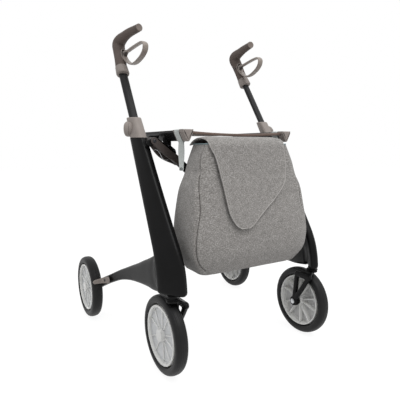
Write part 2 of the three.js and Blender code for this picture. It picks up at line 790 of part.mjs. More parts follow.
function pivotHole(x, z) {
  const far = linkBracketReach + linkCheekOffset;
  return rod(point(x, crossY - far, z), point(x, crossY + far, z), pivotRadius + runningGap);
}

function sideFrame() {
  const hubBoss = rod(
    point(rearBossInnerX, rearAxleY, wheelRadius),
    point(rearHalfTrack - tyreHalfWidth - seatGap, rearAxleY, wheelRadius),
    rearBossRadius, rearBossSides,
  );
  const whole = joined(frontLeg(), rearLeg(), hubBoss, linkBracket())
    .add(crossClevis())
    .add(railRest());
  const headBore = rod(
    point(headX, headY, footBottom - overrun),
    point(headX, headY, footBottom + forkStemInLeg + overrun),
    forkStemRadius + runningGap,
  );
  const axleBore = rod(
    point(rearBossInnerX - overrun, rearAxleY, wheelRadius),
    point(rearHalfTrack, rearAxleY, wheelRadius),
    axleRadius + seatGap,
  );
  return cut(
    whole, tubeBore(), headBore, axleBore, brakeScrewShaft(runningGap),
    pivotHole(crossFootX, crossFootZ), pivotHole(linkPivotX, linkPivotZ), linkRelief(),
  );
}

function collar() {
  const ring = (z, shrink) => {
    const [x, y] = legCentre(z);
    const share = (z - collarBottom) / (collarTop - collarBottom);
    return levelRing(
      x, y, z,
      between(share, collarHalfLengthBottom, collarHalfLengthTop) - shrink,
      between(share, collarHalfWidthBottom, collarHalfWidthTop) - shrink,
      legTurnTop, collarRoundness,
    );
  };
  const body = loft([
    ring(collarBottom, 0),
    ring((collarBottom + collarTop) / 2, 0),
    ring(collarTop - collarEdge, 0),
    ring(collarTop, collarEdge / 2),
  ]);
  const pocket = rod(
    point(0, 0, 0), point(0, 0, collarHalfLengthBottom * 2), knobRadius + runningGap, knobSides,
  ).translate(0, 0, knobStart - seatGap);
  const shankHole = rod(point(0, 0, 0), point(0, 0, knobStart), knobShankRadius + runningGap, boltSides);
  return cut(toSolid(body), tubeBore(), atKnob(pocket), atKnob(shankHole));
}

// Sets a piece drawn along +Z onto the axis of the height knob.
function atKnob(geometry) {
  const height = between(knobHeightShare, collarBottom, collarTop);
  const [x, y] = legCentre(height);
  return geometry
    .rotateY(Math.PI / 2)
    .rotateZ(knobTurn)
    .translate(x, y, height);
}

function heightKnob() {
  const dome = Array.from({ length: knobSteps + 1 }, (_, i) => {
    const a = i / knobSteps * Math.PI / 2;
    return [knobRadius - knobEdge * (1 - Math.cos(a)), knobDepth - knobEdge + knobEdge * Math.sin(a)];
  });
  const profile = [
    [0, -knobShankLength], [knobShankRadius, -knobShankLength], [knobShankRadius, 0], [knobRadius, 0],
    ...dome, [0, knobDepth],
  ].map(([radius, along]) => new THREE.Vector2(radius, along));
  return atKnob(new THREE.LatheGeometry(profile, knobSides)
    .rotateX(Math.PI / 2)
    .translate(0, 0, knobStart));
}

// Rear brake: a tab along the outer face of the rear leg, and a shoe across the front of the tread

// A point of the brake's plane at a distance from the tread, on the line that the shoe slides along.
function brakePlace(away) {
  const reach = wheelRadius + away;
  return [rearAxleY - reach * Math.cos(brakeAngle), wheelRadius + reach * Math.sin(brakeAngle)];
}

function brakeScrewShaft(grow) {
  return rod(
    point(brakeInnerX - brakeScrewInLeg - grow, brakeScrewY, brakeScrewZ),
    point(brakeInnerX + brakeTabThickness + seatGap, brakeScrewY, brakeScrewZ),
    brakeScrewRadius + grow, boltSides,
  );
}

function brakeScrew() {
  const face = brakeInnerX + brakeTabThickness + seatGap;
  const head = rod(
    point(face - seatGap / 2, brakeScrewY, brakeScrewZ),
    point(face + brakeScrewHeadThickness, brakeScrewY, brakeScrewZ),
    brakeScrewHead,
  );
  return toGeometry(joined(brakeScrewShaft(0), head));
}

function brakeShoe() {
  const treadCorner = wheelRadius / Math.cos(Math.PI / wheelSteps) - wheelRadius;
  const shoe = new THREE.BoxGeometry(brakeOuterX - brakeInnerX, brakeHalfThickness * 2, brakeHalfHeight * 2)
    .rotateX(-brakeAngle)
    .translate(
      (brakeOuterX + brakeInnerX) / 2,
      ...brakePlace(treadCorner + seatGap + brakeTravel + brakeHalfThickness),
    );
  const tab = extrudeAlong('x', roundBar(
    [brakeTabFrontY, brakeTabFrontZ], [brakeTabRearY, brakeTabRearZ], brakeTabFrontRadius, brakeTabRearRadius,
  ), brakeInnerX, brakeInnerX + brakeTabThickness);
  const slotRadius = brakeScrewRadius + runningGap;
  const slot = extrudeAlong('x', roundBar(
    [brakeScrewY, brakeScrewZ], brakePlace(brakeScrewAway + brakeTravel), slotRadius, slotRadius,
  ), brakeInnerX - overrun, brakeInnerX + brakeTabThickness + overrun);
  return cut(joined(tab, shoe), slot);
}

function addSideFrames() {
  addPair('side_frame', sideFrame(), satinBlack);
  addPair('leg_collar', collar(), taupe);
  addPair('height_knob', heightKnob(), taupe);
  addPair('brake_shoe', brakeShoe(), taupe);
  addPair('brake_shoe_screw', brakeScrew(), darkSteel);
}

// Handles

// The top of the grip's band, from which the grip and lever are placed.
function gripBase() {
  return alongTube(tubeVisible + bandHeight);
}

function fromGripBase(inset, back, rise) {
  return gripBase().add(point(-inset, back, rise));
}

function leverPivot() {
  return fromGripBase(leverPivotInset, leverPivotBack, leverPivotRise);
}

function handleTube() {
  const top = tubeVisible + tubeInBand;
  const outer = loft([tubeRing(-tubeInserted, 0), tubeRing(top, 0)]);
  const inner = loft([tubeRing(-tubeInserted - overrun, -tubeWall), tubeRing(top - tubeWall * 2, -tubeWall)]);
  return cut(toSolid(outer), inner);
}

// Rings square to a path, their across direction kept level.
function pathRings(path, radiusAt, steps, count) {
  return Array.from({ length: steps + 1 }, (_, i) => {
    const t = i / steps;
    const middle = path.getPointAt(t);
    const ahead = path.getTangentAt(t);
    const across = point(1, 0, 0).addScaledVector(ahead, -ahead.x).normalize();
    const up = new THREE.Vector3().crossVectors(ahead, across);
    const radius = radiusAt(t);
    return Array.from({ length: count }, (_unused, j) => {
      const a = j / count * 2 * Math.PI;
      return middle.clone()
        .addScaledVector(across, Math.cos(a) * radius)
        .addScaledVector(up, Math.sin(a) * radius);
    });
  });
}

function gripPath() {
  return new THREE.CatmullRomCurve3([
    gripBase(),
    fromGripBase(gripStemInset, gripStemBack, gripStemRise),
    fromGripBase(gripBendInset, gripBendBack, gripBendRise),
    fromGripBase(gripPalmInset, -gripPalmAhead, gripPalmRise),
    fromGripBase(gripEndInset, -gripEndAhead, gripEndRise),
  ], false, 'centripetal');
}

function shareAlong(shares, t) {
  const place = t * (shares.length - 1);
  const low = Math.min(Math.floor(place), shares.length - 2);
  return between(place - low, shares[low], shares[low + 1]);
}

function leverSlot() {
  return new THREE.BoxGeometry(slotHalfWidth * 2, slotDepth * 4, slotHalfHeight * 2)
    .translate(0, -slotDepth, 0)
    .rotateZ(-leverToe)
    .translate(...leverPivot().toArray());
}

function leverPin(grow) {
  const half = slotHalfWidth + leverPinRadius + grow;
  const side = point(Math.cos(leverToe), -Math.sin(leverToe), 0);
  const middle = leverPivot();
  return rod(
    middle.clone().addScaledVector(side, -half), middle.clone().addScaledVector(side, half),
    leverPinRadius + grow, boltSides,
  );
}

function grip() {
  const body = loft(pathRings(
    gripPath(), (t) => gripStemRadius * shareAlong(gripRadiusShares, t), gripSteps, bandSteps,
  ));
  return cut(toSolid(body), leverSlot(), leverPin(seatGap));
}

function gripBand() {
  const start = alongTube(tubeVisible);
  const path = gripPath();
  const topRing = pathRings(path, () => gripStemRadius, gripSteps, bandSteps)[0]
    .map((p) => p.addScaledVector(path.getTangentAt(0), -seatGap));
  const ringAt = (share, radius) => topRing.map((p) => (
    p.clone().sub(gripBase()).multiplyScalar(radius / gripStemRadius).add(start.clone().lerp(gripBase(), share))
  ));
  const body = loft([ringAt(0, bandRadius * bandFootShare), ringAt(bandFlareShare, bandRadius), topRing]);
  const tubeHole = loft([tubeRing(0, seatGap), tubeRing(tubeVisible + tubeInBand + seatGap, seatGap)]);
  return cut(toSolid(body), tubeHole);
}

function gripCap() {
  const path = gripPath();
  const ahead = path.getTangentAt(1);
  const rings = pathRings(path, () => gripStemRadius * gripRadiusShares.at(-1), gripSteps, bandSteps);
  const face = rings.at(-1);
  const end = path.getPointAt(1);
  const ringAt = (distance, share) => face.map((p) => (
    p.clone().sub(end).multiplyScalar(share).add(end).addScaledVector(ahead, distance)
  ));
  return loft([
    ringAt(seatGap, 1),
    ...gripCapDepthShares.map((depth, i) => ringAt(gripCapThickness * depth, gripCapRadiusShares[i])),
  ]);
}

// The loop's outline forward of the pivot and above it, closed and rounded by a spline.
function leverLoop(offset) {
  const spline = new THREE.CatmullRomCurve3(leverLoopForwardShares.map((forward, i) => (
    point(-forward * leverReach, leverLoopHeightShares[i] * leverReach, 0)
  )), true, 'centripetal');
  const count = leverLoopForwardShares.length * leverLoopPointsPerShare;
  return Array.from({ length: count }, (_, i) => {
    const place = spline.getPoint(i / count);
    const way = spline.getTangent(i / count);
    return [place.x - way.y * offset, place.y + way.x * offset];
  });
}

function brakeLever() {
  const band = outline(leverLoop(0));
  const inside = leverLoop(leverBandThickness);
  band.holes.push(new THREE.Path(outline(inside).getPoints()));
  const half = leverBandWidth / 2;
  const tongue = extrudeAlong(
    'x', roundBar([0, 0], [-leverTongueLength, 0], leverPinRadius * 2, leverTongueHalfHeight), -half, half,
  );
  const hollow = extrudeAlong('x', outline(inside), -half - overrun, half + overrun);
  const hole = rod(point(-half - overrun, 0, 0), point(half + overrun, 0, 0), leverPinRadius + runningGap, boltSides);
  const whole = toSolid(tongue).subtract(toSolid(hollow)).add(toSolid(extrudeAlong('x', band, -half, half)));
  return cut(whole, hole)
    .rotateZ(-leverToe)
    .translate(...leverPivot().toArray());
}

function addHandles() {
  addPair('handle_tube', handleTube(), tubeBlack);
  addPair('grip_band', gripBand(), taupe);
  addPair('grip', grip(), gripBrown);
  addPair('grip_cap', gripCap(), taupe);
  addPair('brake_lever', brakeLever(), taupe);
  addPair('brake_lever_pin', leverPin(0), darkSteel);
}

// Casters

function fork() {
  const stem = rod(
    point(headX, headY, crownBottom),
    point(headX, headY, footBottom + forkStemInLeg),
    forkStemRadius,
  );
  const crown = extrudeAlong('z', roundBar(
    [headX, headY], [forkInnerX + crownRadius, headY], crownRadius, crownRadius * crownInnerShare,
  ), crownBottom, crownTop);
  const width = (from, to, fromWidth, toWidth) => extrudeAlong(
    'x', roundBar(from, to, fromWidth / 2, toWidth / 2, forkBarEndSteps), forkInnerX, forkOuterX,
  );
  const hub = [frontAxleY, wheelRadius];
  const front = [forkFrontTopY, forkFrontTopZ];
  const rear = [forkRearTopY, forkRearTopZ];
  const bridge = width(front, rear, forkBarWidthTop, forkBarWidthTop);
  const hubBoss = rod(
    point(forkInnerX, frontAxleY, wheelRadius),
    point(frontHalfTrack - hubHalfWidth - seatGap, frontAxleY, wheelRadius),
    forkHubRadius,
  );
  const shoulder = extrudeAlong('z', roundBar(
    [(forkInnerX + forkOuterX) / 2, forkFrontTopY + forkBarWidthTop / 2],
    [headX, headY], (forkOuterX - forkInnerX) / 2, crownRadius * shoulderShare,
  ), crownBottom, crownTop);
  const whole = joined(
    stem, crown, shoulder, bridge, hubBoss,
    width(front, hub, forkBarWidthTop, forkBarWidthHub),
    width(rear, hub, forkBarWidthTop, forkBarWidthHub),
  );
  const trimTop = new THREE.BoxGeometry(crownRadius * 4, crownRadius * 8, crownRadius)
    .translate(forkInnerX, headY, crownTop + crownRadius / 2);
  const stemKept = rod(
    point(headX, headY, crownTop - seatGap), point(headX, headY, footBottom + crownRadius), forkStemRadius,
  );
  const bore = rod(
    point(forkInnerX - overrun, frontAxleY, wheelRadius),
    point(frontHalfTrack, frontAxleY, wheelRadius), axleRadius + seatGap,
  );
  const trimmed = whole.subtract(toSolid(trimTop).subtract(toSolid(stemKept)));
  return cut(trimmed, bore);
}

function headWasher() {
  const washer = rod(
    point(headX, headY, crownTop + seatGap), point(headX, headY, footBottom - seatGap), washerRadius,
  );
  const hole = rod(
    point(headX, headY, crownTop - overrun), point(headX, headY, footBottom + overrun), forkStemRadius + runningGap,
  );
  return cut(toSolid(washer), hole);
}

function addCasters() {
  addPair('fork', fork(), satinBlack);
  addPair('head_washer', headWasher(), satinBlack);
}

// Folding cross and seat rails

// A strut from its foot on one side to the rail on the other.
// The side is the sign of the foot's x, and the strut on +X lies in front.
function crossStrut(side) {
  const [low, high] = side > 0
    ? [crossY - strutGap - strutThickness, crossY - strutGap]
    : [crossY + strutGap, crossY + strutGap + strutThickness];
  const bar = roundBar(
    [side * crossFootX, crossFootZ], [-side * railHalfTrack, strutTopZ], strutHalfWidth, strutHalfWidth,
  );
  const holes = [
    [side * crossFootX, crossFootZ], [0, crossCentreZ], [-side * railHalfTrack, strutTopZ],
  ].map(([x, z]) => pivotHole(x, z));
  return cut(toSolid(extrudeAlong('y', bar, low, high)), ...holes);
}

function pivotBolt(x, z, halfLength) {
  const shaft = rod(point(x, crossY - halfLength, z), point(x, crossY + halfLength, z), pivotRadius);
  const heads = [-1, 1].map((end) => rod(
    point(x, crossY + end * halfLength, z),
    point(x, crossY + end * (halfLength + boltHeadThickness), z),
    boltHeadRadius,
  ));
  return toGeometry(joined(shaft, ...heads));
}

// A rail with a lug and a pin for the strut that comes up from the other side.
// The lug stands in front of the rear strut on +X and behind the front strut on -X.
function seatRail(side) {
  const faces = side > 0
    ? [crossY - strutGap - strutThickness, crossY - strutGap]
    : [crossY + strutGap, crossY + strutGap + strutThickness];
  const strutFace = crossY + side * (strutGap + strutThickness);
  const x = side * railHalfTrack;
  const bar = extrudeAlong('y', railShape(0), railFrontY, railRearY);
  const lug = extrudeAlong('y', roundBar(
    [x, strutTopZ], [x, railBottom + railEdge * 2], railLugHalfWidth, railLugHalfWidth,
  ), ...faces);
  const pin = rod(point(x, crossY - side * overrun, strutTopZ), point(x, strutFace, strutTopZ), pivotRadius);
  return toGeometry(joined(side > 0 ? bar : mirrored(bar), lug, pin));
}

function railCap() {
  return extrudeAlong('y', railShape(railCapGrow), railFrontY - seatGap - railCapLength, railFrontY - seatGap);
}

// Shape of a link's cheek: two round ends and a lower edge that bows down.
function cheekOutline(start, end) {
  const along = Math.atan2(end[1] - start[1], end[0] - start[0]);
  const arc = (centre, radius, first) => Array.from({ length: cheekSteps + 1 }, (_, i) => {
    const a = first + i / cheekSteps * Math.PI;
    return [centre[0] + radius * Math.cos(a), centre[1] + radius * Math.sin(a)];
  });
  const bow = Array.from({ length: cheekSteps }, (_, i) => {
    const t = (i + 1) / (cheekSteps + 1);
    const radius = between(t, linkHalfWidthTop, linkHalfWidthEnd) + linkBow * Math.sin(t * Math.PI);
    const side = along + Math.sign(end[0] - start[0]) * -Math.PI / 2;
    return [
      between(t, start[0], end[0]) + radius * Math.cos(side),
      between(t, start[1], end[1]) + radius * Math.sin(side),
    ];
  });
  const startArc = arc(start, linkHalfWidthTop, along + Math.PI / 2);
  const endArc = arc(end, linkHalfWidthEnd, along - Math.PI / 2);
  const pairs = end[0] > start[0]
    ? [...startArc, ...bow, ...endArc]
    : [...endArc, ...bow.reverse(), ...startArc];
  return outline(pairs);
}

function linkPoint(along, across) {
  const way = [linkEndX - linkPivotX, crossCentreZ - linkPivotZ
    + (linkEndX / crossFootX) * (crossCentreZ - crossFootZ)];
  const length = Math.hypot(...way);
  const unit = way.map((v) => v / length);
  return [
    linkPivotX + unit[0] * along * length + unit[1] * across,
    linkPivotZ + unit[1] * along * length - unit[0] * across,
  ];
}

function foldingLink() {
  const shape = cheekOutline(linkPoint(0, 0), linkPoint(1, 0));
  const cheeks = [-1, 1].map((side) => {
    const faces = [side * linkCheekOffset, side * (linkCheekOffset + linkCheekThickness)].sort((a, b) => a - b);
    return extrudeAlong('y', shape, crossY + faces[0], crossY + faces[1]);
  });
  const start = linkPoint(0, 0);
  const end = linkPoint(1, 0);
  const share = linkSpacerAlong / Math.hypot(end[0] - start[0], end[1] - start[1]);
  const [x, z] = linkPoint(share, 0);
  const half = linkCheekOffset + linkCheekThickness / 2;
  const spacer = rod(point(x, crossY - half, z), point(x, crossY + half, z), linkSpacerRadius, boltSides);
  return cut(joined(cheeks[0], cheeks[1], spacer), pivotHole(linkPivotX, linkPivotZ));
}

// The release arm, a low black plate that lies along the upper edge of the front cheek.
function latchArm() {
  const edge = (share) => between(share, linkHalfWidthTop, linkHalfWidthEnd) + seatGap * 2;
  const lower = Array.from({ length: latchSteps + 1 }, (_, i) => {
    const share = between(i / latchSteps, latchStartShare, latchEndShare);
    return linkPoint(share, edge(share));
  });
  const upper = latchRiseShares.map((rise, i) => {
    const share = between(i / latchSteps, latchStartShare, latchEndShare);
    return linkPoint(share, edge(share) + rise * latchRise);
  });
  const shape = outline([...lower, ...upper.reverse()]);
  return extrudeAlong(
    'y', shape, crossY - linkCheekOffset - linkCheekThickness, crossY - linkCheekOffset,
  );
}

function addCross() {
  add('cross_strut_front', crossStrut(1), satinBlack);
  add('cross_strut_rear', crossStrut(-1), satinBlack);
  const centreHalf = strutGap + strutThickness + seatGap;
  add('cross_pivot_bolt', pivotBolt(0, crossCentreZ, centreHalf), steel);
  const clevisHalf = strutThickness + clevisGap + clevisWall + seatGap;
  addPair('strut_foot_bolt', pivotBolt(crossFootX, crossFootZ, clevisHalf), steel);
  const linkHalf = linkCheekOffset + linkCheekThickness + seatGap;
  addPair('link_bolt', pivotBolt(linkPivotX, linkPivotZ, linkHalf), steel);
  addPair('folding_link', foldingLink(), darkTaupe);
  addPair('latch_arm', latchArm(), satinBlack);
  add('seat_rail_left', seatRail(1), satinBlack);
  add('seat_rail_right', seatRail(-1), satinBlack);
  addPair('rail_end_cap', railCap(), taupe);
}

// Seat sling and bag

function seatSling() {
  const halfSpan = railHalfTrack - railHalfWidth - seatGap;
  const top = railTop - railEdge / 2;
  const edge = (drop) => Array.from({ length: slingSteps + 1 }, (_, i) => {
    const across = 2 * i / slingSteps - 1;
    return [across * halfSpan, top - drop - slingSag * (1 - across ** 2)];
  });
  const shape = outline([...edge(slingThickness), ...edge(0).reverse()]);
  const strapGrow = seatGap * 2 + strapThickness;
  const notches = [
    extrudeAlong('y', railShape(railCapGrow + seatGap), slingFrontY - overrun, railFrontY),
    extrudeAlong(
      'y', railShape(strapGrow), strapY - strapWidth / 2 - seatGap, strapY + strapWidth / 2 + seatGap,
    ),
  ];
  return cut(toSolid(extrudeAlong('y', shape, slingFrontY, slingRearY)), ...notches, ...notches.map(mirrored));
}

// A level section of the bag: a rounded oblong that is deeper in front or behind by shares of the height.
function bagRing(share, inset = 0, height = between(share, bagBottom, bagTop)) {
  const width = bagHalfWidth * shareAlong(bagWidthShares, share) - inset;
  const middle = (bagFrontY + bagBackY) / 2;
  const front = (middle - bagFrontY) * shareAlong(bagFrontShares, share) - inset;
  const back = (bagBackY - middle) * shareAlong(bagBackShares, share) - inset;
  return oblong(bagPoints, bagRoundness).map(([across, along]) => point(
    across * width,
    middle + along * (along < 0 ? front : back),
    height,
  ));
}

// The room in the bag, open at the top.
function bagRoom() {
  const rings = Array.from({ length: bagRings }, (_, i) => bagRing(i / (bagRings - 1), bagWall));
  return loft([...rings, bagRing(1, bagWall, bagTop + overrun)]);
}

// How far the twisted tail of a strap reaches inwards at a height above its end.
function strapReach(rise) {
  const halfWidth = between(rise / strapLength, strapEndHalfWidth, strapTailHalfWidth);
  return halfWidth * Math.cos(strapTwist) + strapThickness / 2 * Math.sin(strapTwist);
}

// The ear on each side that a strap holds the bag by.
function bagEar() {
  const reach = railHalfTrack - strapReach(bagEarRise + bagEarHalfHeight) - seatGap;
  const root = bagHalfWidth * Math.min(...bagWidthShares);
  return new THREE.BoxGeometry(reach - root, bagEarHalfWidth * 2, bagEarHalfHeight * 2)
    .translate((reach + root) / 2, strapY, railBottom - strapLength + bagEarRise);
}

function bagBody() {
  const rings = Array.from({ length: bagRings }, (_, i) => bagRing(i / (bagRings - 1)));
  const middle = (bagFrontY + bagBackY) / 2;
  const sole = bagRing(0).map((p) => point(
    p.x * bagSoleShare, middle + (p.y - middle) * bagSoleShare, p.z - bagSoleDrop,
  ));
  const ear = bagEar();
  return cut(joined(loft([sole, ...rings]), ear, mirrored(ear)), bagRoom());
}

// Where the bag's front lies at a height and a distance from the middle.
function bagFrontAt(x, z) {
  const share = Math.min((z - bagBottom) / (bagTop - bagBottom), 1);
  const width = bagHalfWidth * shareAlong(bagWidthShares, share);
  const middle = (bagFrontY + bagBackY) / 2;
  const front = (middle - bagFrontY) * shareAlong(bagFrontShares, share);
  const across = Math.min(Math.abs(x) / width, flapCornerShare);
  return middle - front * (1 - across ** bagRoundness) ** (1 / bagRoundness);
}

// One row of the flap, as a closed ring: along its outer face and back along its inner face.
function flapRow(left, right, placeAt, inward) {
  const outer = Array.from({ length: flapSteps + 1 }, (_, i) => placeAt(between(i / flapSteps, left, right)));
  const inner = outer.map((p) => p.clone().addScaledVector(inward, flapThickness)).reverse();
  return [...outer, ...inner];
}

function bagFlap() {
  const mouth = bagFrontAt(0, bagTop) - flapStandOff;
  const heightAt = (share) => between(share, flapTip, flapTop);
  const top = flapTopYShares.map((along, i) => flapRow(
    flapTopLeftShares[i] * flapHalfWidth,
    flapTopRightShares[i] * flapHalfWidth,
    (x) => point(x, between(along, flapBackY, mouth), heightAt(flapTopHeightShares[i])),
    point(0, along / 2, -1),
  ));
  const front = flapHeightShares.map((share, i) => flapRow(
    flapLeftShares[i] * flapHalfWidth,
    flapRightShares[i] * flapHalfWidth,
    (x) => point(x, bagFrontAt(x, heightAt(share)) - flapStandOff - flapThickness, heightAt(share)),
    point(0, 1, 0),
  ));
  return loft([...top, ...front]);
}

function bagStrap() {
  const outer = railShape(seatGap + strapThickness);
  outer.holes.push(new THREE.Path(railShape(seatGap).getPoints()));
  const loop = extrudeAlong('y', outer, strapY - strapWidth / 2, strapY + strapWidth / 2);
  const low = -strapLength;
  const tail = extrudeAlong('y', outline([
    [-strapTailHalfWidth, 0], [-strapEndHalfWidth, low + strapEndHalfWidth], [-strapEndHalfWidth / 2, low],
    [strapEndHalfWidth / 2, low], [strapEndHalfWidth, low + strapEndHalfWidth], [strapTailHalfWidth, 0],
  ]), -strapThickness / 2, strapThickness / 2)
    .rotateZ(strapTwist)
    .translate(railHalfTrack, strapY, railBottom - seatGap);
  const rivetHole = rod(
    point(railHalfTrack - strapWidth, strapY, railBottom - strapLength + strapRivetRise),
    point(railHalfTrack + strapWidth, strapY, railBottom - strapLength + strapRivetRise),
    strapRivetRadius, strapRivetSides,
  );
  return cut(joined(loop, tail), rivetHole.translate(-railHalfTrack, -strapY, 0)
    .rotateZ(strapTwist + Math.PI / 2).translate(railHalfTrack, strapY, 0));
}

function addSoftGoods() {
  add('seat_sling', seatSling(), slingCloth);
  add('bag_body', bagBody(), greyFelt);
  add('bag_flap', bagFlap(), greyFelt);
  addPair('bag_strap', bagStrap(), paleStrap);
}

addSideFrames();
addHandles();
addWheels();
addCasters();
addCross();
addSoftGoods();

export default rollator;
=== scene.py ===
"""A folding rollator with four wheels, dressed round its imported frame.

Sizes are millimetres in the frame's own axes: +Z up, the rollator faces -Y and
the user's left side is +X. Meshes are handed to Blender in metres.
"""

import logging
import math
from dataclasses import dataclass, field
from enum import Enum

import bpy
import numpy as np
from mathutils import Matrix


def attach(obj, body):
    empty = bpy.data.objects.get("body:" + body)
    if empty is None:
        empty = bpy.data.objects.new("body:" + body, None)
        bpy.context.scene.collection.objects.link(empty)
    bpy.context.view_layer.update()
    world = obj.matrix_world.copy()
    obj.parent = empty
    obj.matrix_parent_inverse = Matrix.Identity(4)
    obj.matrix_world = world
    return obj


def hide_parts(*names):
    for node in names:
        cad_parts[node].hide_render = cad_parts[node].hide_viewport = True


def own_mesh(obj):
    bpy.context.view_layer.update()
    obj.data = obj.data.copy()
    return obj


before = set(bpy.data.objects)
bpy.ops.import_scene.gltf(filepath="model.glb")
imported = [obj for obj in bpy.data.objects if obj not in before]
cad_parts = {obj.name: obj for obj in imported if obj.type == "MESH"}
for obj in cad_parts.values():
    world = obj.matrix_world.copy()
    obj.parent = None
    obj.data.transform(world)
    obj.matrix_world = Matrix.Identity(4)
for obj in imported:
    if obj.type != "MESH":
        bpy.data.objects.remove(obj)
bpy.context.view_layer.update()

log = logging.getLogger("rollator")

MM = 0.001
Array = np.ndarray
TURN = 2 * math.pi
ACROSS = np.array([1.0, 0.0, 0.0])
ALONG = np.array([0.0, 1.0, 0.0])
UP = np.array([0.0, 0.0, 1.0])


class Side(Enum):
    """The user's side of a paired piece, with the sign of its x."""

    LEFT = 1
    RIGHT = -1

    @property
    def word(self) -> str:
        """The side as it stands in the names of nodes and bodies."""
        return self.name.lower()


class Plane(Enum):
    """The axis that a flat outline is thickened along."""

    X = 0
    Y = 1
    Z = 2


# Shapes as arrays


@dataclass
class Shell:
    """A surface: points in millimetres and faces of any number of corners.

    Args:
        points: Places, one row of three for each point.
        corners: The point of each corner, face after face.
        sizes: How many corners each face has.
        cloth: Place of each corner on the flat cloth in millimetres, if it is cloth.
    """

    points: Array
    corners: Array
    sizes: Array
    cloth: Array | None = None

    def _fan(self) -> tuple[Array, Array, Array]:
        """Three corners for each triangle of the fans that fill the faces.

        Returns:
            The places of the first, second and third corners.
        """
        starts = np.cumsum(self.sizes) - self.sizes
        first = np.repeat(starts, self.sizes)
        size = np.repeat(self.sizes, self.sizes)
        index = np.arange(len(self.corners))
        kept = (index > first) & (index < first + size - 1)
        return (
            self.points[self.corners[first[kept]]],
            self.points[self.corners[index[kept]]],
            self.points[self.corners[index[kept] + 1]],
        )

    def turned_over(self) -> "Shell":
        """The same surface with each face's corners in the other order.

        Returns:
            The shell facing the other way.
        """
        starts = np.cumsum(self.sizes) - self.sizes
        first = np.repeat(starts, self.sizes)
        size = np.repeat(self.sizes, self.sizes)
        order = first + size - 1 - (np.arange(len(self.corners)) - first)
        cloth = None if self.cloth is None else self.cloth[order]
        return Shell(self.points, self.corners[order], self.sizes, cloth)

    def outward(self) -> "Shell":
        """The closed surface facing outwards: the sum of its cone volumes is positive.

        Returns:
            The shell, turned over if it faced inwards.
        """
        a, b, c = self._fan()
        return self if (a * np.cross(b, c)).sum() > 0 else self.turned_over()

    def mirrored(self) -> "Shell":
        """The surface on the other side of the middle plane.

        Returns:
            The shell with the sign of x changed and its faces still outwards.
        """
        other = self.turned_over()
        other.points = self.points * np.array([-1.0, 1.0, 1.0])
        return other

    def on(self, side: Side) -> "Shell":
        """The shell for a side, as built for the left and mirrored for the right."""
        return self if side is Side.LEFT else self.mirrored()


def together(*shells: Shell) -> Shell:
    """Several shells as one, without joining their surfaces.

    Args:
        shells: The shells, all of cloth or none of it.

    Returns:
        One shell that holds the points and faces of all.
    """
    starts = np.cumsum([0] + [len(s.points) for s in shells[:-1]])
    cloth = None if shells[0].cloth is None else np.concatenate([s.cloth for s in shells])
    return Shell(
        np.concatenate([s.points for s in shells]),
        np.concatenate([s.corners + start for s, start in zip(shells, starts)]),
        np.concatenate([s.sizes for s in shells]),
        cloth,
    )


def skin(grid: Array, closed: bool = False, cloth: Array | None = None) -> Shell:
    """A tube over rows of points, each row a closed ring.

    The faces are the squares between neighbouring rows and columns. An open
    tube gets a flat face over its first and its last ring.

    Args:
        grid: Rows of rings, shaped (rows, around, 3).
        closed: Whether the last ring joins the first.
        cloth: Flat places shaped (rows, around + 1, 2), for cloth.

    Returns:
        The closed shell, facing outwards.
    """
    rows, around = grid.shape[:2]
    i, j = np.meshgrid(np.arange(rows if closed else rows - 1), np.arange(around), indexing="ij")
    step, beside = (i + 1) % rows, (j + 1) % around
    quads = np.stack([
        i * around + j, i * around + beside, step * around + beside, step * around + j,
    ], axis=-1).reshape(-1, 4)
    corners, sizes = quads.ravel(), np.full(len(quads), 4)
    places = None
    if cloth is not None:
        places = np.stack([
            cloth[i, j], cloth[i, j + 1], cloth[step, j + 1], cloth[step, j],
        ], axis=-2).reshape(-1, 2)
    if not closed:
        ring = np.arange(around)
        corners = np.concatenate([corners, ring[::-1], (rows - 1) * around + ring])
        sizes = np.concatenate([sizes, [around, around]])
        if places is not None:
            places = np.concatenate([places, cloth[0, ring[::-1]], cloth[-1, ring]])
    return Shell(grid.reshape(-1, 3), corners, sizes, places).outward()


def unit(vectors: Array) -> Array:
    """Vectors shortened or lengthened to one."""
    return vectors / np.maximum(np.linalg.norm(vectors, axis=-1, keepdims=True), 1e-12)


def spacing(points: Array, axis: int = 0) -> Array:
    """Distances between neighbouring points along an axis of their array."""
    return np.linalg.norm(np.diff(points, axis=axis), axis=-1)


def travelled(line: Array) -> Array:
    """Distance of each point of a line from its start, measured along it."""
    return np.concatenate([[0.0], np.cumsum(spacing(line))])


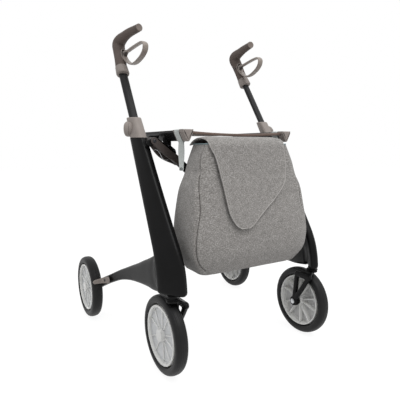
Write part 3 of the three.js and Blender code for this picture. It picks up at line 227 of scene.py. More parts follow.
def spline(knots: Array, count: int, closed: bool = False) -> Array:
    """A smooth line through knots, with points at even distances.

    Between two knots the line is the centripetal Catmull-Rom curve: each knot's
    own time is the sum of the square roots of the distances before it, and three
    rounds of straight blends by time give the point.

    Args:
        knots: Rows of any number of values.
        count: How many points the line gets.
        closed: Whether it runs on from the last knot to the first.

    Returns:
        The points, shaped (count, values of a knot).
    """
    knots = np.asarray(knots, float)
    if closed:
        knots = np.concatenate([knots[-1:], knots, knots[:2]])
    else:
        knots = np.concatenate([2 * knots[:1] - knots[1:2], knots, 2 * knots[-1:] - knots[-2:-1]])
    gaps = np.sqrt(spacing(knots))
    times = np.concatenate([[0.0], np.cumsum(np.maximum(gaps, 1e-6))])
    at = np.linspace(times[1], times[-2], count * 8)
    k = np.clip(np.searchsorted(times, at, side="right") - 1, 1, len(knots) - 3)

    def blend(a: Array, b: Array, start: Array, end: Array) -> Array:
        """Between two rows of points, by the share of the time from start to end."""
        share = ((at - start) / (end - start))[:, None]
        return a * (1 - share) + b * share

    t = [times[k + offset] for offset in (-1, 0, 1, 2)]
    p = [knots[k + offset] for offset in (-1, 0, 1, 2)]
    a = [blend(p[i], p[i + 1], t[i], t[i + 1]) for i in range(3)]
    b = [blend(a[i], a[i + 1], t[i], t[i + 2]) for i in range(2)]
    line = blend(b[0], b[1], t[1], t[2])
    return evenly(line, count, closed)


def evenly(line: Array, count: int, closed: bool = False) -> Array:
    """The points of a line moved to even distances along it.

    Args:
        line: The line's points.
        count: How many points it gets.
        closed: Whether its end meets its start, which is then not repeated.

    Returns:
        The new points.
    """
    along = travelled(line)
    at = np.linspace(0, along[-1], count, endpoint=not closed)
    return np.stack([np.interp(at, along, line[:, k]) for k in range(line.shape[1])], axis=1)


def table(shares: Array, columns: Array, at: Array) -> Array:
    """Values between the rows of a table, smoothed by a cubic through each row.

    Args:
        shares: The rows' own values, rising.
        columns: What the table gives, one row for each share.
        at: Where it is read.

    Returns:
        The table's values there.
    """
    shares, columns = np.asarray(shares, float), np.asarray(columns, float)
    slopes = np.gradient(columns, shares, axis=0)
    k = np.clip(np.searchsorted(shares, at, side="right") - 1, 0, len(shares) - 2)
    gap = shares[k + 1] - shares[k]
    t = np.clip((at - shares[k]) / gap, 0, 1)
    if columns.ndim > 1:
        gap, t = gap[:, None], t[:, None]
    return (
        columns[k] * (2 * t**3 - 3 * t**2 + 1)
        + slopes[k] * gap * (t**3 - 2 * t**2 + t)
        + columns[k + 1] * (3 * t**2 - 2 * t**3)
        + slopes[k + 1] * gap * (t**3 - t**2)
    )


def oblong(count: int, exponent: float) -> Array:
    """Unit outline of a rounded oblong.

    Cosine and sine of the angle, each raised to two over the exponent.

    Args:
        count: Points round it.
        exponent: Two for a round, more for squarer corners.

    Returns:
        The outline, shaped (count, 2).
    """
    angle = (np.arange(count) + 0.5) / count * TURN
    wave = np.stack([np.cos(angle), np.sin(angle)], axis=1)
    return np.sign(wave) * np.abs(wave) ** (2 / exponent)


def rounded(corners: Array, reach: Array | float, steps: int = 6) -> Array:
    """A polygon with rounded corners.

    Each corner is a parabola between points at the reach along its two sides:
    corner + (1 - t)^2 reach back + t^2 reach ahead.

    Args:
        corners: The polygon's corners.
        reach: How far from each corner its rounding starts.
        steps: Steps in each rounding.

    Returns:
        The outline's points.
    """
    corners = np.asarray(corners, float)
    back = unit(np.roll(corners, 1, axis=0) - corners)
    ahead = unit(np.roll(corners, -1, axis=0) - corners)
    reach = np.broadcast_to(np.asarray(reach, float), len(corners))[:, None, None]
    t = np.linspace(0, 1, steps + 1)[None, :, None]
    line = corners[:, None] + (1 - t) ** 2 * reach * back[:, None] + t**2 * reach * ahead[:, None]
    return line.reshape(-1, 2)


def bar(start: Array, end: Array, start_radius: float, end_radius: float, steps: int = 14) -> Array:
    """Outline of a flat bar with round ends.

    Args:
        start: Centre of one round end.
        end: Centre of the other.
        start_radius: Radius of the first end.
        end_radius: Radius of the second.
        steps: Steps in each end.

    Returns:
        The outline's points.
    """
    start, end = np.asarray(start, float), np.asarray(end, float)
    way = math.atan2(end[1] - start[1], end[0] - start[0])
    half = np.linspace(0, math.pi, steps + 1)[:, None]
    first, second = half + way + math.pi / 2, half + way - math.pi / 2
    return np.concatenate([
        start + start_radius * np.hstack([np.cos(first), np.sin(first)]),
        end + end_radius * np.hstack([np.cos(second), np.sin(second)]),
    ])


def set_in(outline: Array, distance: float) -> Array:
    """An outline moved inwards by a distance, along the normal at each point."""
    outline = np.asarray(outline, float)
    way = unit(np.roll(outline, -1, axis=0) - np.roll(outline, 1, axis=0))
    x, y = outline.T
    area = (x * np.roll(y, -1) - np.roll(x, -1) * y).sum()
    inward = np.stack([-way[:, 1], way[:, 0]], axis=1) * np.sign(area)
    return outline + inward * distance


def plate(outline: Array, low: float, high: float, edge: float, plane: Plane) -> Shell:
    """A flat outline thickened between two planes, with rounded edges.

    Near each face the outline moves in by edge (1 - cos a) while it rises by
    edge sin a, for a from 90 degrees down to none.

    Args:
        outline: The outline's points, in the two other axes in their order.
        low: Where the plate starts along its plane's axis.
        high: Where it ends.
        edge: Radius of its edges.
        plane: The axis that it is thickened along.

    Returns:
        The closed shell.
    """
    a = np.linspace(math.pi / 2, 0, 5)
    heights = np.concatenate([low + edge * (1 - np.sin(a)), high - edge * (1 - np.sin(a[::-1]))])
    insets = np.concatenate([edge * (1 - np.cos(a)), edge * (1 - np.cos(a[::-1]))])
    rings = np.stack([set_in(outline, inset) for inset in insets])
    flat = np.broadcast_to(heights[:, None, None], (*rings.shape[:2], 1))
    order = {Plane.X: (2, 0, 1), Plane.Y: (0, 2, 1), Plane.Z: (0, 1, 2)}[plane]
    return skin(np.concatenate([rings, flat], axis=2)[..., order])


def turned(profile: Array, centre: Array, axis: Array, count: int = 48, closed: bool = False) -> Shell:
    """A profile turned about an axis.

    A point at radius r and distance d lies at centre + d axis + r (cos a u + sin a v),
    with u and v square to the axis.

    Args:
        profile: Radius and distance along the axis of each point.
        centre: Where the distance is nothing.
        axis: Direction of the axis.
        count: Steps round.
        closed: Whether the profile is a loop clear of the axis.

    Returns:
        The closed shell.
    """
    axis = unit(np.asarray(axis, float))
    u = unit(np.cross(axis, UP if abs(axis[2]) < 0.9 else ACROSS))
    v = np.cross(axis, u)
    a = np.arange(count) / count * TURN
    round_it = np.cos(a)[:, None] * u + np.sin(a)[:, None] * v
    profile = np.asarray(profile, float)
    grid = centre + profile[:, 1, None, None] * axis + profile[:, 0, None, None] * round_it
    return skin(grid, closed)


def carry(path: Array, profile: Array, level: Array, scale: Array | float = 1.0,
          closed: bool = False) -> Shell:
    """A profile carried along a path, kept square to it.

    At each point, across is the level direction less its part along the path,
    and up is square to both. The profile's two values go along these two.

    Args:
        path: The path's points.
        profile: The closed profile, shaped (points, 2).
        level: Direction that the profile's first value keeps to, one or one for each point.
        scale: Size of the profile, as one value, one for each point or two for each point.
        closed: Whether the path is a loop.

    Returns:
        The closed shell.
    """
    path = np.asarray(path, float)
    if closed:
        ahead = unit(np.roll(path, -1, axis=0) - np.roll(path, 1, axis=0))
    else:
        ahead = unit(np.gradient(path, axis=0))
    level = np.broadcast_to(level, path.shape)
    across = unit(level - (level * ahead).sum(1, keepdims=True) * ahead)
    up = np.cross(ahead, across)
    scale = np.asarray(scale, float)
    if scale.ndim < 2:
        scale = np.repeat(np.broadcast_to(scale, len(path))[:, None], 2, axis=1)
    sized = profile[None] * scale[:, None]
    grid = path[:, None] + sized[..., :1] * across[:, None] + sized[..., 1:] * up[:, None]
    return skin(grid, closed)


def slab(sheet: Array, thickness: float) -> Shell:
    """A sheet of cloth with two faces and a rounded edge.

    The two faces are the sheet moved by half the thickness along its normals,
    and between them a row runs round the edge, pushed out by half as much again.

    Args:
        sheet: The middle of the sheet, shaped (rows, columns, 3).
        thickness: Its thickness.

    Returns:
        The closed shell, with its flat places measured along rows and columns.
    """
    rows, columns = sheet.shape[:2]
    along, aside = np.gradient(sheet, axis=0), np.gradient(sheet, axis=1)
    normal = unit(np.cross(along, aside)) * thickness / 2
    v = np.cumsum(np.linalg.norm(np.diff(sheet, axis=0, prepend=sheet[:1]), axis=2), axis=0)
    u = np.cumsum(np.linalg.norm(np.diff(sheet, axis=1, prepend=sheet[:, :1]), axis=2), axis=1)
    v = np.broadcast_to(v.mean(axis=1, keepdims=True), u.shape)
    flat = np.stack([u - u[:, -1:] / 2, v], axis=-1).reshape(-1, 2)
    index = np.arange(rows * columns).reshape(rows, columns)
    quads = np.stack([index[:-1, :-1], index[:-1, 1:], index[1:, 1:], index[1:, :-1]], -1).reshape(-1, 4)
    border = np.concatenate([index[0, :-1], index[:-1, -1], index[-1, :0:-1], index[:0:-1, 0]])
    outwards = np.zeros_like(sheet)
    outwards[0] -= unit(along[0])
    outwards[-1] += unit(along[-1])
    outwards[:, 0] -= unit(aside[:, 0])
    outwards[:, -1] += unit(aside[:, -1])
    rim = (sheet + unit(outwards) * thickness / 2).reshape(-1, 3)[border]
    count, around = rows * columns, len(border)
    points = np.concatenate([(sheet + normal).reshape(-1, 3), (sheet - normal).reshape(-1, 3), rim])
    top, bottom, middle = border, border + count, 2 * count + np.arange(around)

    def band(upper: Array, lower: Array) -> Array:
        """The squares between two borders of points."""
        return np.stack([upper, lower, np.roll(lower, -1), np.roll(upper, -1)], axis=1)

    faces = np.concatenate([quads, quads[:, ::-1] + count, band(top, middle), band(middle, bottom)])
    places = np.concatenate([flat, flat, flat[border]])
    corners = faces.ravel()
    return Shell(points, corners, np.full(len(faces), 4), places[corners]).outward()


# Work on finished shells


def to_mesh(name: str, shell: Shell) -> bpy.types.Mesh:
    """A Blender mesh in metres from a shell.

    Args:
        name: The mesh's name.
        shell: The shell in millimetres.

    Returns:
        The mesh, with the flat places of cloth as its UV map.
    """
    mesh = bpy.data.meshes.new(name)
    mesh.vertices.add(len(shell.points))
    mesh.vertices.foreach_set("co", (shell.points * MM).astype(np.float32).ravel())
    mesh.loops.add(len(shell.corners))
    mesh.loops.foreach_set("vertex_index", shell.corners.astype(np.int32))
    mesh.polygons.add(len(shell.sizes))
    starts = (np.cumsum(shell.sizes) - shell.sizes).astype(np.int32)
    mesh.polygons.foreach_set("loop_start", starts)
    if shell.cloth is not None:
        layer = mesh.uv_layers.new(name="cloth")
        layer.uv.foreach_set("vector", (shell.cloth * MM).astype(np.float32).ravel())
    mesh.update(calc_edges=True)
    return mesh


def from_object(thing: bpy.types.Object) -> Shell:
    """The shell of an object with its modifiers, and the object and its mesh removed."""
    graph = bpy.context.evaluated_depsgraph_get()
    mesh = bpy.data.meshes.new_from_object(thing.evaluated_get(graph))
    points = np.zeros(len(mesh.vertices) * 3, np.float32)
    corners = np.zeros(len(mesh.loops), np.int32)
    sizes = np.zeros(len(mesh.polygons), np.int32)
    mesh.vertices.foreach_get("co", points)
    mesh.loops.foreach_get("vertex_index", corners)
    mesh.polygons.foreach_get("loop_total", sizes)
    own = thing.data
    bpy.data.objects.remove(thing)
    bpy.data.meshes.remove(own)
    bpy.data.meshes.remove(mesh)
    return Shell(points.reshape(-1, 3).astype(float) / MM, corners, sizes)


def fused(shells: list[Shell], voxel: float) -> Shell:
    """Overlapping shells as one skin, on a lattice of voxels.

    Args:
        shells: Closed shells that overlap.
        voxel: Side of a voxel in millimetres.

    Returns:
        One closed shell of small squares.
    """
    thing = bpy.data.objects.new("fused", to_mesh("fused", together(*shells)))
    bpy.context.scene.collection.objects.link(thing)
    remesh = thing.modifiers.new("remesh", "REMESH")
    remesh.mode = "VOXEL"
    remesh.voxel_size = voxel * MM
    return from_object(thing)


def carved(shell: Shell, cutter: Shell) -> Shell:
    """A shell with the room of another taken out of it."""
    thing = bpy.data.objects.new("kept", to_mesh("kept", shell))
    tool = bpy.data.objects.new("tool", to_mesh("tool", cutter))
    for item in (thing, tool):
        bpy.context.scene.collection.objects.link(item)
    cut = thing.modifiers.new("cut", "BOOLEAN")
    cut.operation, cut.solver, cut.object = "DIFFERENCE", "EXACT", tool
    bpy.context.view_layer.update()
    rest = from_object(thing)
    own = tool.data
    bpy.data.objects.remove(tool)
    bpy.data.meshes.remove(own)
    return rest.outward()


def neighbours(shell: Shell) -> tuple[Array, Array, Array]:
    """The two ends of each edge, and how many edges meet at each point."""
    starts = np.cumsum(shell.sizes) - shell.sizes
    last = starts + shell.sizes - 1
    following = np.arange(1, len(shell.corners) + 1)
    following[last] = starts
    pairs = np.stack([shell.corners, shell.corners[following]], axis=1)
    pairs = np.unique(np.sort(pairs, axis=1), axis=0)
    return pairs[:, 0], pairs[:, 1], np.bincount(pairs.ravel(), minlength=len(shell.points))


def lean(points: Array, a: Array, b: Array, degree: Array) -> Array:
    """From each point to the mean of its neighbours."""
    count = len(points)
    total = np.stack([
        np.bincount(a, points[b, k], count) + np.bincount(b, points[a, k], count) for k in range(3)
    ], axis=1)
    return total / np.maximum(degree, 1)[:, None] - points


def eased(shell: Shell, rounds: int) -> Shell:
    """A shell smoothed without shrinking: each round moves the points half way to
    the mean of their neighbours, and then back by a little more.

    Args:
        shell: The shell.
        rounds: How often it is done.

    Returns:
        The smoother shell.
    """
    a, b, degree = neighbours(shell)
    points = shell.points.copy()
    for _ in range(rounds):
        points += 0.5 * lean(points, a, b, degree)
        points -= 0.53 * lean(points, a, b, degree)
    return Shell(points, shell.corners, shell.sizes)


def filleted(shell: Shell, rounds: int, weight: Array) -> Shell:
    """A shell whose hollow corners are filled to a round.

    Each round a point moves to the mean of its neighbours, but only where that
    lies outside the surface, and by the share that its weight says.

    Args:
        shell: A closed shell of squares, facing outwards.
        rounds: How often it is done.
        weight: Share for each point.

    Returns:
        The shell with its hollow corners filled.
    """
    a, b, degree = neighbours(shell)
    faces = shell.corners.reshape(-1, 4)
    points, count = shell.points.copy(), len(shell.points)
    for _ in range(rounds):
        p = points[faces]
        face_normal = np.cross(p[:, 2] - p[:, 0], p[:, 3] - p[:, 1])
        normal = unit(np.stack([
            np.bincount(faces.ravel(), np.repeat(face_normal[:, k], 4), count) for k in range(3)
        ], axis=1))
        way = lean(points, a, b, degree)
        out = (way * normal).sum(1)
        points += 0.8 * (weight * (out > 0))[:, None] * way
    return Shell(points, shell.corners, shell.sizes)


# Finishes


def linear(code: str) -> tuple[float, float, float, float]:
    """An sRGB hex colour as Blender's linear one.

    Args:
        code: Six hex digits.

    Returns:
        Red, green, blue and one for alpha.
    """
    shares = [int(code[i:i + 2], 16) / 255 for i in (0, 2, 4)]
    return (*[s / 12.92 if s <= 0.04045 else ((s + 0.055) / 1.055) ** 2.4 for s in shares], 1.0)


def add_node(tree: bpy.types.NodeTree, kind: str, sockets: dict | None = None, **settings) -> bpy.types.Node:
    """Adds a node with its settings and links.

    Args:
        tree: The material's or world's tree.
        kind: Blender's name of the node.
        sockets: A value or another node's output for each named input.
        settings: The node's own properties.

    Returns:
        The node.
    """
    made = tree.nodes.new(kind)
    for name, value in settings.items():
        setattr(made, name, value)
    for name, value in (sockets or {}).items():
        if isinstance(value, bpy.types.NodeSocket):
            tree.links.new(value, made.inputs[name])
        else:
            made.inputs[name].default_value = value
    return made


def grade(tree: bpy.types.NodeTree, value: bpy.types.NodeSocket,
          stops: dict[float, str]) -> bpy.types.NodeSocket:
    """A value turned into a colour by the colours at some of its places.

    Args:
        tree: The tree.
        value: What is read.
        stops: Colours by place.

    Returns:
        The colour's socket.
    """
    ramp = add_node(tree, "ShaderNodeValToRGB", {"Fac": value})
    band = ramp.color_ramp
    places = sorted(stops)
    band.elements[0].position, band.elements[-1].position = places[0], places[-1]
    for place in places[1:-1]:
        band.elements.new(place)
    for element, place in zip(band.elements, places):
        element.color = linear(stops[place])
    return ramp.outputs["Color"]


def seen_directly(tree: bpy.types.NodeTree) -> bpy.types.NodeSocket:
    """One for a ray from the camera, off a glossy surface or through a clear one, else nothing.

    Args:
        tree: The material's or world's tree.

    Returns:
        The socket.
    """
    rays = add_node(tree, "ShaderNodeLightPath")
    seen = rays.outputs["Is Camera Ray"]
    for name in ("Is Glossy Ray", "Is Transmission Ray"):
        larger = add_node(tree, "ShaderNodeMath", {0: seen, 1: rays.outputs[name]}, operation="MAXIMUM")
        seen = larger.outputs[0]
    return seen


def per_metre(size: float) -> float:
    """A pattern's scale from the size of its grain in millimetres."""
    return 1 / (size * MM)


@dataclass(frozen=True)
class Finish:
    """A surface with its own material, made once.

    Args:
        name: The real material's name.
        shade: Its mean colour as sRGB hex.
        roughness: Mean roughness of the surface.
        specular: Strength of its reflection, 0.5 being that of common plastic.
    """

    name: str
    shade: str
    roughness: float
    specular: float = 0.5

    def material(self) -> bpy.types.Material:
        """The finish as a material.

        Returns:
            The material of this name, made at the first call.
        """
        found = bpy.data.materials.get(self.name)
        if found:
            return found
        made = bpy.data.materials.new(self.name)
        made.use_nodes = True
        made.diffuse_color = linear(self.shade)
        tree = made.node_tree
        shader = tree.nodes["Principled BSDF"]
        shader.inputs["Base Color"].default_value = linear(self.shade)
        shader.inputs["Roughness"].default_value = self.roughness
        shader.inputs["Specular IOR Level"].default_value = self.specular
        self.dress(tree, shader)
        return made

    def dress(self, tree: bpy.types.NodeTree, shader: bpy.types.Node) -> None:
        """Adds the finish's own pattern to the shader."""


@dataclass(frozen=True)
class Moulded(Finish):
    """Injection-moulded plastic or rubber with an eroded tool surface: faint clouds
    in its colour, and a fine grain that breaks up the reflection.

    Args:
        dark: The clouds' darker colour.
        light: Their lighter colour.
        grain: Size of the grain in millimetres.
        depth: Height of the grain in millimetres.
    """

    dark: str = "000000"
    light: str = "ffffff"
    grain: float = 0.9
    depth: float = 0.03

    def dress(self, tree: bpy.types.NodeTree, shader: bpy.types.Node) -> None:
        """Clouds of 40 mm for the colour, the grain for the bump and the roughness."""
        place = add_node(tree, "ShaderNodeTexCoord").outputs["Object"]
        clouds = add_node(tree, "ShaderNodeTexNoise", {
            "Vector": place, "Scale": per_metre(40), "Detail": 3.0, "Roughness": 0.6,
        })
        tree.links.new(grade(tree, clouds.outputs["Fac"], {0.3: self.dark, 0.7: self.light}),
                       shader.inputs["Base Color"])
        grain = add_node(tree, "ShaderNodeTexNoise", {
            "Vector": place, "Scale": per_metre(self.grain), "Detail": 2.0, "Roughness": 0.5,
        })
        rough = add_node(tree, "ShaderNodeMapRange", {
            "Value": grain.outputs["Fac"],
            "To Min": self.roughness - 0.06, "To Max": self.roughness + 0.06,
        })
        tree.links.new(rough.outputs["Result"], shader.inputs["Roughness"])
        bump = add_node(tree, "ShaderNodeBump", {
            "Height": grain.outputs["Fac"], "Strength": 0.12, "Distance": self.depth * MM,
        })
        tree.links.new(bump.outputs["Normal"], shader.inputs["Normal"])


@dataclass(frozen=True)
class Drawn(Finish):
    """Drawn or rolled metal: long fine streaks along its length, which stretch the highlight.

    Args:
        metallic: One for bare metal, less under an anodised or painted layer.
        stretch: Scale along x, y and z of the streaks, small along their length.
        streak: Width of a streak in millimetres.
        dark: Colour of the duller streaks.
    """

    metallic: float = 1.0
    stretch: tuple[float, float, float] = (1.0, 1.0, 0.03)
    streak: float = 0.8
    dark: str = "202020"

    def dress(self, tree: bpy.types.NodeTree, shader: bpy.types.Node) -> None:
        """Stretched noise for the colour, the roughness and a shallow bump."""
        shader.inputs["Metallic"].default_value = self.metallic
        place = add_node(tree, "ShaderNodeTexCoord").outputs["Object"]
        drawn = add_node(tree, "ShaderNodeMapping", {"Vector": place, "Scale": self.stretch})
        streaks = add_node(tree, "ShaderNodeTexNoise", {
            "Vector": drawn.outputs["Vector"], "Scale": per_metre(self.streak), "Detail": 2.0,
        })
        tree.links.new(grade(tree, streaks.outputs["Fac"], {0.3: self.dark, 0.7: self.shade}),
                       shader.inputs["Base Color"])
        rough = add_node(tree, "ShaderNodeMapRange", {
            "Value": streaks.outputs["Fac"],
            "To Min": self.roughness - 0.05, "To Max": self.roughness + 0.08,
        })
        tree.links.new(rough.outputs["Result"], shader.inputs["Roughness"])
        bump = add_node(tree, "ShaderNodeBump", {
            "Height": streaks.outputs["Fac"], "Strength": 0.5, "Distance": 0.02 * MM,
        })
        tree.links.new(bump.outputs["Normal"], shader.inputs["Normal"])


@dataclass(frozen=True)
class Milky(Moulded):
    """Unfilled white nylon: light goes in a few millimetres, so thin webs look milky.

    Args:
        light_depth: How far light goes in, in millimetres.
    """

    light_depth: float = 8.0

    def dress(self, tree: bpy.types.NodeTree, shader: bpy.types.Node) -> None:
        """The moulded surface, with light let into it."""
        super().dress(tree, shader)
        shader.inputs["Subsurface Weight"].default_value = 0.55
        shader.inputs["Subsurface Scale"].default_value = self.light_depth * MM
        shader.inputs["Subsurface Radius"].default_value = (1.0, 1.0, 0.96)


@dataclass(frozen=True)
class Tread(Moulded):
    """Foamed polyurethane of a puncture-proof tyre: dull black, with fine lines round the tread.

    Args:
        dust: Colour of the faint wear.
    """

    dust: str = "191918"

    def dress(self, tree: bpy.types.NodeTree, shader: bpy.types.Node) -> None:
        """The moulded grain, with the wear of 12 mm patches over its colour."""
        super().dress(tree, shader)
        place = add_node(tree, "ShaderNodeTexCoord").outputs["Object"]
        wear = add_node(tree, "ShaderNodeTexNoise", {
            "Vector": place, "Scale": per_metre(12), "Detail": 4.0, "Roughness": 0.65,
        })
        tree.links.new(grade(tree, wear.outputs["Fac"], {0.35: self.dark, 0.62: self.light, 0.8: self.dust}),
                       shader.inputs["Base Color"])


@dataclass(frozen=True)
class Felt(Finish):
    """Heather felt of the bag: matted light and dark fibres, which the eye sees as small
    soft lumps with finer hairs across them, and a faint sheen at its edges.

    Args:
        dark: Colour of the darkest fibres.
        light: Colour of the lightest.
        lump: Size of the lumps in millimetres.
        hair: Width of a bundle of hairs in millimetres, drawn coarser than real to show.
    """

    dark: str = "5b5855"
    light: str = "b2afac"
    lump: float = 3.0
    hair: float = 1.1

    def dress(self, tree: bpy.types.NodeTree, shader: bpy.types.Node) -> None:
        """Lumps and two layers of crossing hairs, read on the flat cloth."""
        shader.inputs["Sheen Weight"].default_value = 0.25
        shader.inputs["Sheen Roughness"].default_value = 0.6
        place = add_node(tree, "ShaderNodeUVMap", uv_map="cloth").outputs["UV"]
        lumps = add_node(tree, "ShaderNodeTexNoise", {
            "Vector": place, "Scale": per_metre(self.lump), "Detail": 3.0, "Roughness": 0.7,
        })
        clouds = add_node(tree, "ShaderNodeTexNoise", {
            "Vector": place, "Scale": per_metre(15), "Detail": 2.0, "Roughness": 0.5,
        })
        layers = []
        for stretch, angle in (((1.0, 0.16, 1.0), 0.35), ((0.2, 1.0, 1.0), -0.25)):
            laid = add_node(tree, "ShaderNodeMapping", {
                "Vector": place, "Scale": stretch, "Rotation": (0.0, 0.0, angle),
            })
            layers.append(add_node(tree, "ShaderNodeTexNoise", {
                "Vector": laid.outputs["Vector"], "Scale": per_metre(self.hair), "Detail": 2.0,
            }).outputs["Fac"])
        hairs = add_node(tree, "ShaderNodeMath", {0: layers[0], 1: layers[1]}, operation="ADD")
        part = add_node(tree, "ShaderNodeMath", {
            0: lumps.outputs["Fac"], 1: 1.1, 2: 0.0,
        }, operation="MULTIPLY_ADD")
        cloudy = add_node(tree, "ShaderNodeMath", {
            0: clouds.outputs["Fac"], 1: 0.25, 2: part.outputs[0],
        }, operation="MULTIPLY_ADD")
        mixed = add_node(tree, "ShaderNodeMath", {
            0: hairs.outputs[0], 1: 0.55, 2: cloudy.outputs[0],
        }, operation="MULTIPLY_ADD")
        tone = add_node(tree, "ShaderNodeMapRange", {
            "Value": mixed.outputs[0], "From Min": 0.9, "From Max": 1.55,
        })
        tree.links.new(
            grade(tree, tone.outputs["Result"], {0.05: self.dark, 0.5: self.shade, 0.95: self.light}),
            shader.inputs["Base Color"],
        )
        bump = add_node(tree, "ShaderNodeBump", {
            "Height": mixed.outputs[0], "Strength": 0.8, "Distance": 0.5 * MM,
        })
        tree.links.new(bump.outputs["Normal"], shader.inputs["Normal"])


@dataclass(frozen=True)
class Woven(Finish):
    """Plain-woven polyester webbing or cloth: threads over and under each other.

    Args:
        dark: Colour between the threads.
        thread: Distance from thread to thread in millimetres.
    """

    dark: str = "202020"
    thread: float = 1.6

    def dress(self, tree: bpy.types.NodeTree, shader: bpy.types.Node) -> None:
        """A wave along each direction of the flat cloth, the two multiplied, with a little noise."""
        shader.inputs["Sheen Weight"].default_value = 0.15
        place = add_node(tree, "ShaderNodeUVMap", uv_map="cloth").outputs["UV"]
        apart = add_node(tree, "ShaderNodeSeparateXYZ", {"Vector": place})
        waves = []
        for name in ("X", "Y"):
            phase = add_node(tree, "ShaderNodeMath", {
                0: apart.outputs[name], 1: math.pi * per_metre(self.thread),
            }, operation="MULTIPLY")
            waves.append(add_node(tree, "ShaderNodeMath", {0: phase.outputs[0]}, operation="SINE").outputs[0])
        weave = add_node(tree, "ShaderNodeMath", {0: waves[0], 1: waves[1]}, operation="MULTIPLY")
        fuzz = add_node(tree, "ShaderNodeTexNoise", {
            "Vector": place, "Scale": per_metre(2.4), "Detail": 3.0,
        })
        height = add_node(tree, "ShaderNodeMath", {
            0: weave.outputs[0], 1: 0.3, 2: fuzz.outputs["Fac"],
        }, operation="MULTIPLY_ADD")
        tree.links.new(grade(tree, height.outputs[0], {0.15: self.dark, 0.75: self.shade}),
                       shader.inputs["Base Color"])
        bump = add_node(tree, "ShaderNodeBump", {
            "Height": height.outputs[0], "Strength": 0.7, "Distance": 0.3 * MM,
        })
        tree.links.new(bump.outputs["Normal"], shader.inputs["Normal"])


# Painted fibre composite of the side frames: deep satin black with a soft, wide highlight.
SATIN_BLACK = Moulded("satin black composite", "0b0b0c", 0.36, 0.13, "090909", "0e0e0f", 1.4, 0.02)
# Anodised aluminium of the tubes and rails: a little lighter than the paint, faintly drawn.
BLACK_TUBE = Drawn("black anodised aluminium", "1f1f20", 0.42, 0.25, metallic=0.2, dark="19191a")
BLACK_RAIL = Drawn("black anodised rail", "131314", 0.45, 0.2, metallic=0.15,
                   stretch=(1.0, 0.03, 1.0), dark="0f0f10")
# Warm grey moulded nylon of collars, knobs, bands and caps: matt, with an eroded grain.
TAUPE = Moulded("taupe moulded nylon", "8d8580", 0.55, 0.3, "89817c", "918984", 0.8, 0.03)
# Painted lever and brake plates, one tone darker and a little glossier.
LEVER_TAUPE = Moulded("taupe painted steel", "8f8680", 0.42, 0.4, "8b827a", "948b86", 1.6, 0.015)
# The lever's root in the grip: the same paint, much darker, as painted shade of the grip's hollow.
ROOT_SHADE_TAUPE = Moulded("taupe painted steel in painted shade", "453f3c", 0.45, 0.35, "423c38", "494340", 1.6, 0.015)
# Soft grip rubber: brown grey and dull, with a fine stipple.
GRIP_BROWN = Moulded("brown soft grip rubber", "5b514c", 0.68, 0.25, "564c47", "615752", 1.0, 0.05)
# The disc in the grip's end: the grip's brown, a tone lighter and smooth.
CAP_BROWN = Moulded("brown moulded nylon", "736963", 0.5, 0.3, "6f655f", "776d67", 1.0, 0.02)
# The link's cheeks: brown black glass-filled nylon with a faint gloss.
LINK_BROWN = Moulded("brown black glass-filled nylon", "443d3a", 0.45, 0.35, "403936", "494240", 1.2, 0.03)
BRIGHT_STEEL = Drawn("zinc-plated steel", "c8cacc", 0.28, stretch=(1.0, 1.0, 1.0), streak=1.5, dark="b4b6b8")
DARK_STEEL = Drawn("blackened steel", "54565a", 0.35, stretch=(1.0, 1.0, 1.0), streak=1.5, dark="404246")
# The web: the rim's milky nylon made greyer, as painted shade in the pockets between the ribs.
WEB_SHADE_GREY = Milky("milky nylon with painted pocket shade", "cfd1d2", 0.42, 0.3, "cbcdce", "d3d5d6", 2.0, 0.02)
RIM_WHITE = Milky("milky white nylon", "dededc", 0.38, 0.4, "dadad8", "e2e2e0", 2.0, 0.02)
TYRE_BLACK = Tread("black foamed polyurethane", "101011", 0.46, 0.25, "0e0e0f", "131314", 1.3, 0.03)
# Black of the cup set into the lever's opening: painted shade of the hollow.
OPENING_SHADE_BLACK = Moulded("black liner as painted opening shade", "0c0c0c", 0.7, 0.1, "0a0a0a", "0e0e0e", 1.0, 0.02)
GREY_FELT = Felt("grey heather felt", "84817e", 0.95, 0.12)
# Dark sunken thread of the bag's seams, and a paler tape along the flap's edge as a painted highlight where
# the edge catches the light.
SEAM_THREAD = Moulded("dark grey sewing thread", "4d4946", 0.8, 0.15, "494542", "514d4a", 1.0, 0.05)
EDGE_HIGHLIGHT_TAPE = Moulded("pale grey tape as painted edge highlight", "a8a5a2", 0.8, 0.2, "a29f9c", "aeaba8", 1.0, 0.05)
SLING_CLOTH = Woven("brown woven polyester", "6a5c55", 0.85, 0.2, "4c413c", 1.8)
PALE_WEBBING = Woven("pale grey webbing", "c9cdcb", 0.7, 0.25, "adb2b0", 1.5)
SLING_HEM = Moulded("brown coated hem", "6b5b53", 0.6, 0.25, "65564e", "716058", 1.2, 0.03)
BLUE_PIPING = Moulded("blue grey cord piping", "7f9195", 0.6, 0.3, "768a8e", "899a9e", 1.0, 0.08)


# Putting pieces into the scene


def place(name: str, shell: Shell, finish: Finish, body: str, slot: str,
          stands_for: tuple[str, ...] = (), crease: float = 34.0) -> bpy.types.Object:
    """Makes a piece, dresses it and lets it ride on its body.

    Args:
        name: The piece's name.
        shell: Its shape.
        finish: Its finish.
        body: The body that it moves with.
        slot: The record's slot for the piece's finish; not used.
        stands_for: Nodes that it is shown in place of.
        crease: Edges sharper than this many degrees stay sharp.

    Returns:
        The piece.
    """
    mesh = to_mesh(name, shell)
    mesh.shade_smooth()
    mesh.set_sharp_from_angle(angle=math.radians(crease))
    mesh.materials.append(finish.material())
    piece = bpy.data.objects.new(name, mesh)
    bpy.context.scene.collection.objects.link(piece)
    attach(piece, body)
    if stands_for:
        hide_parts(*stands_for)
    log.info("%s: %d faces on %s", name, len(shell.sizes), body)
    return piece


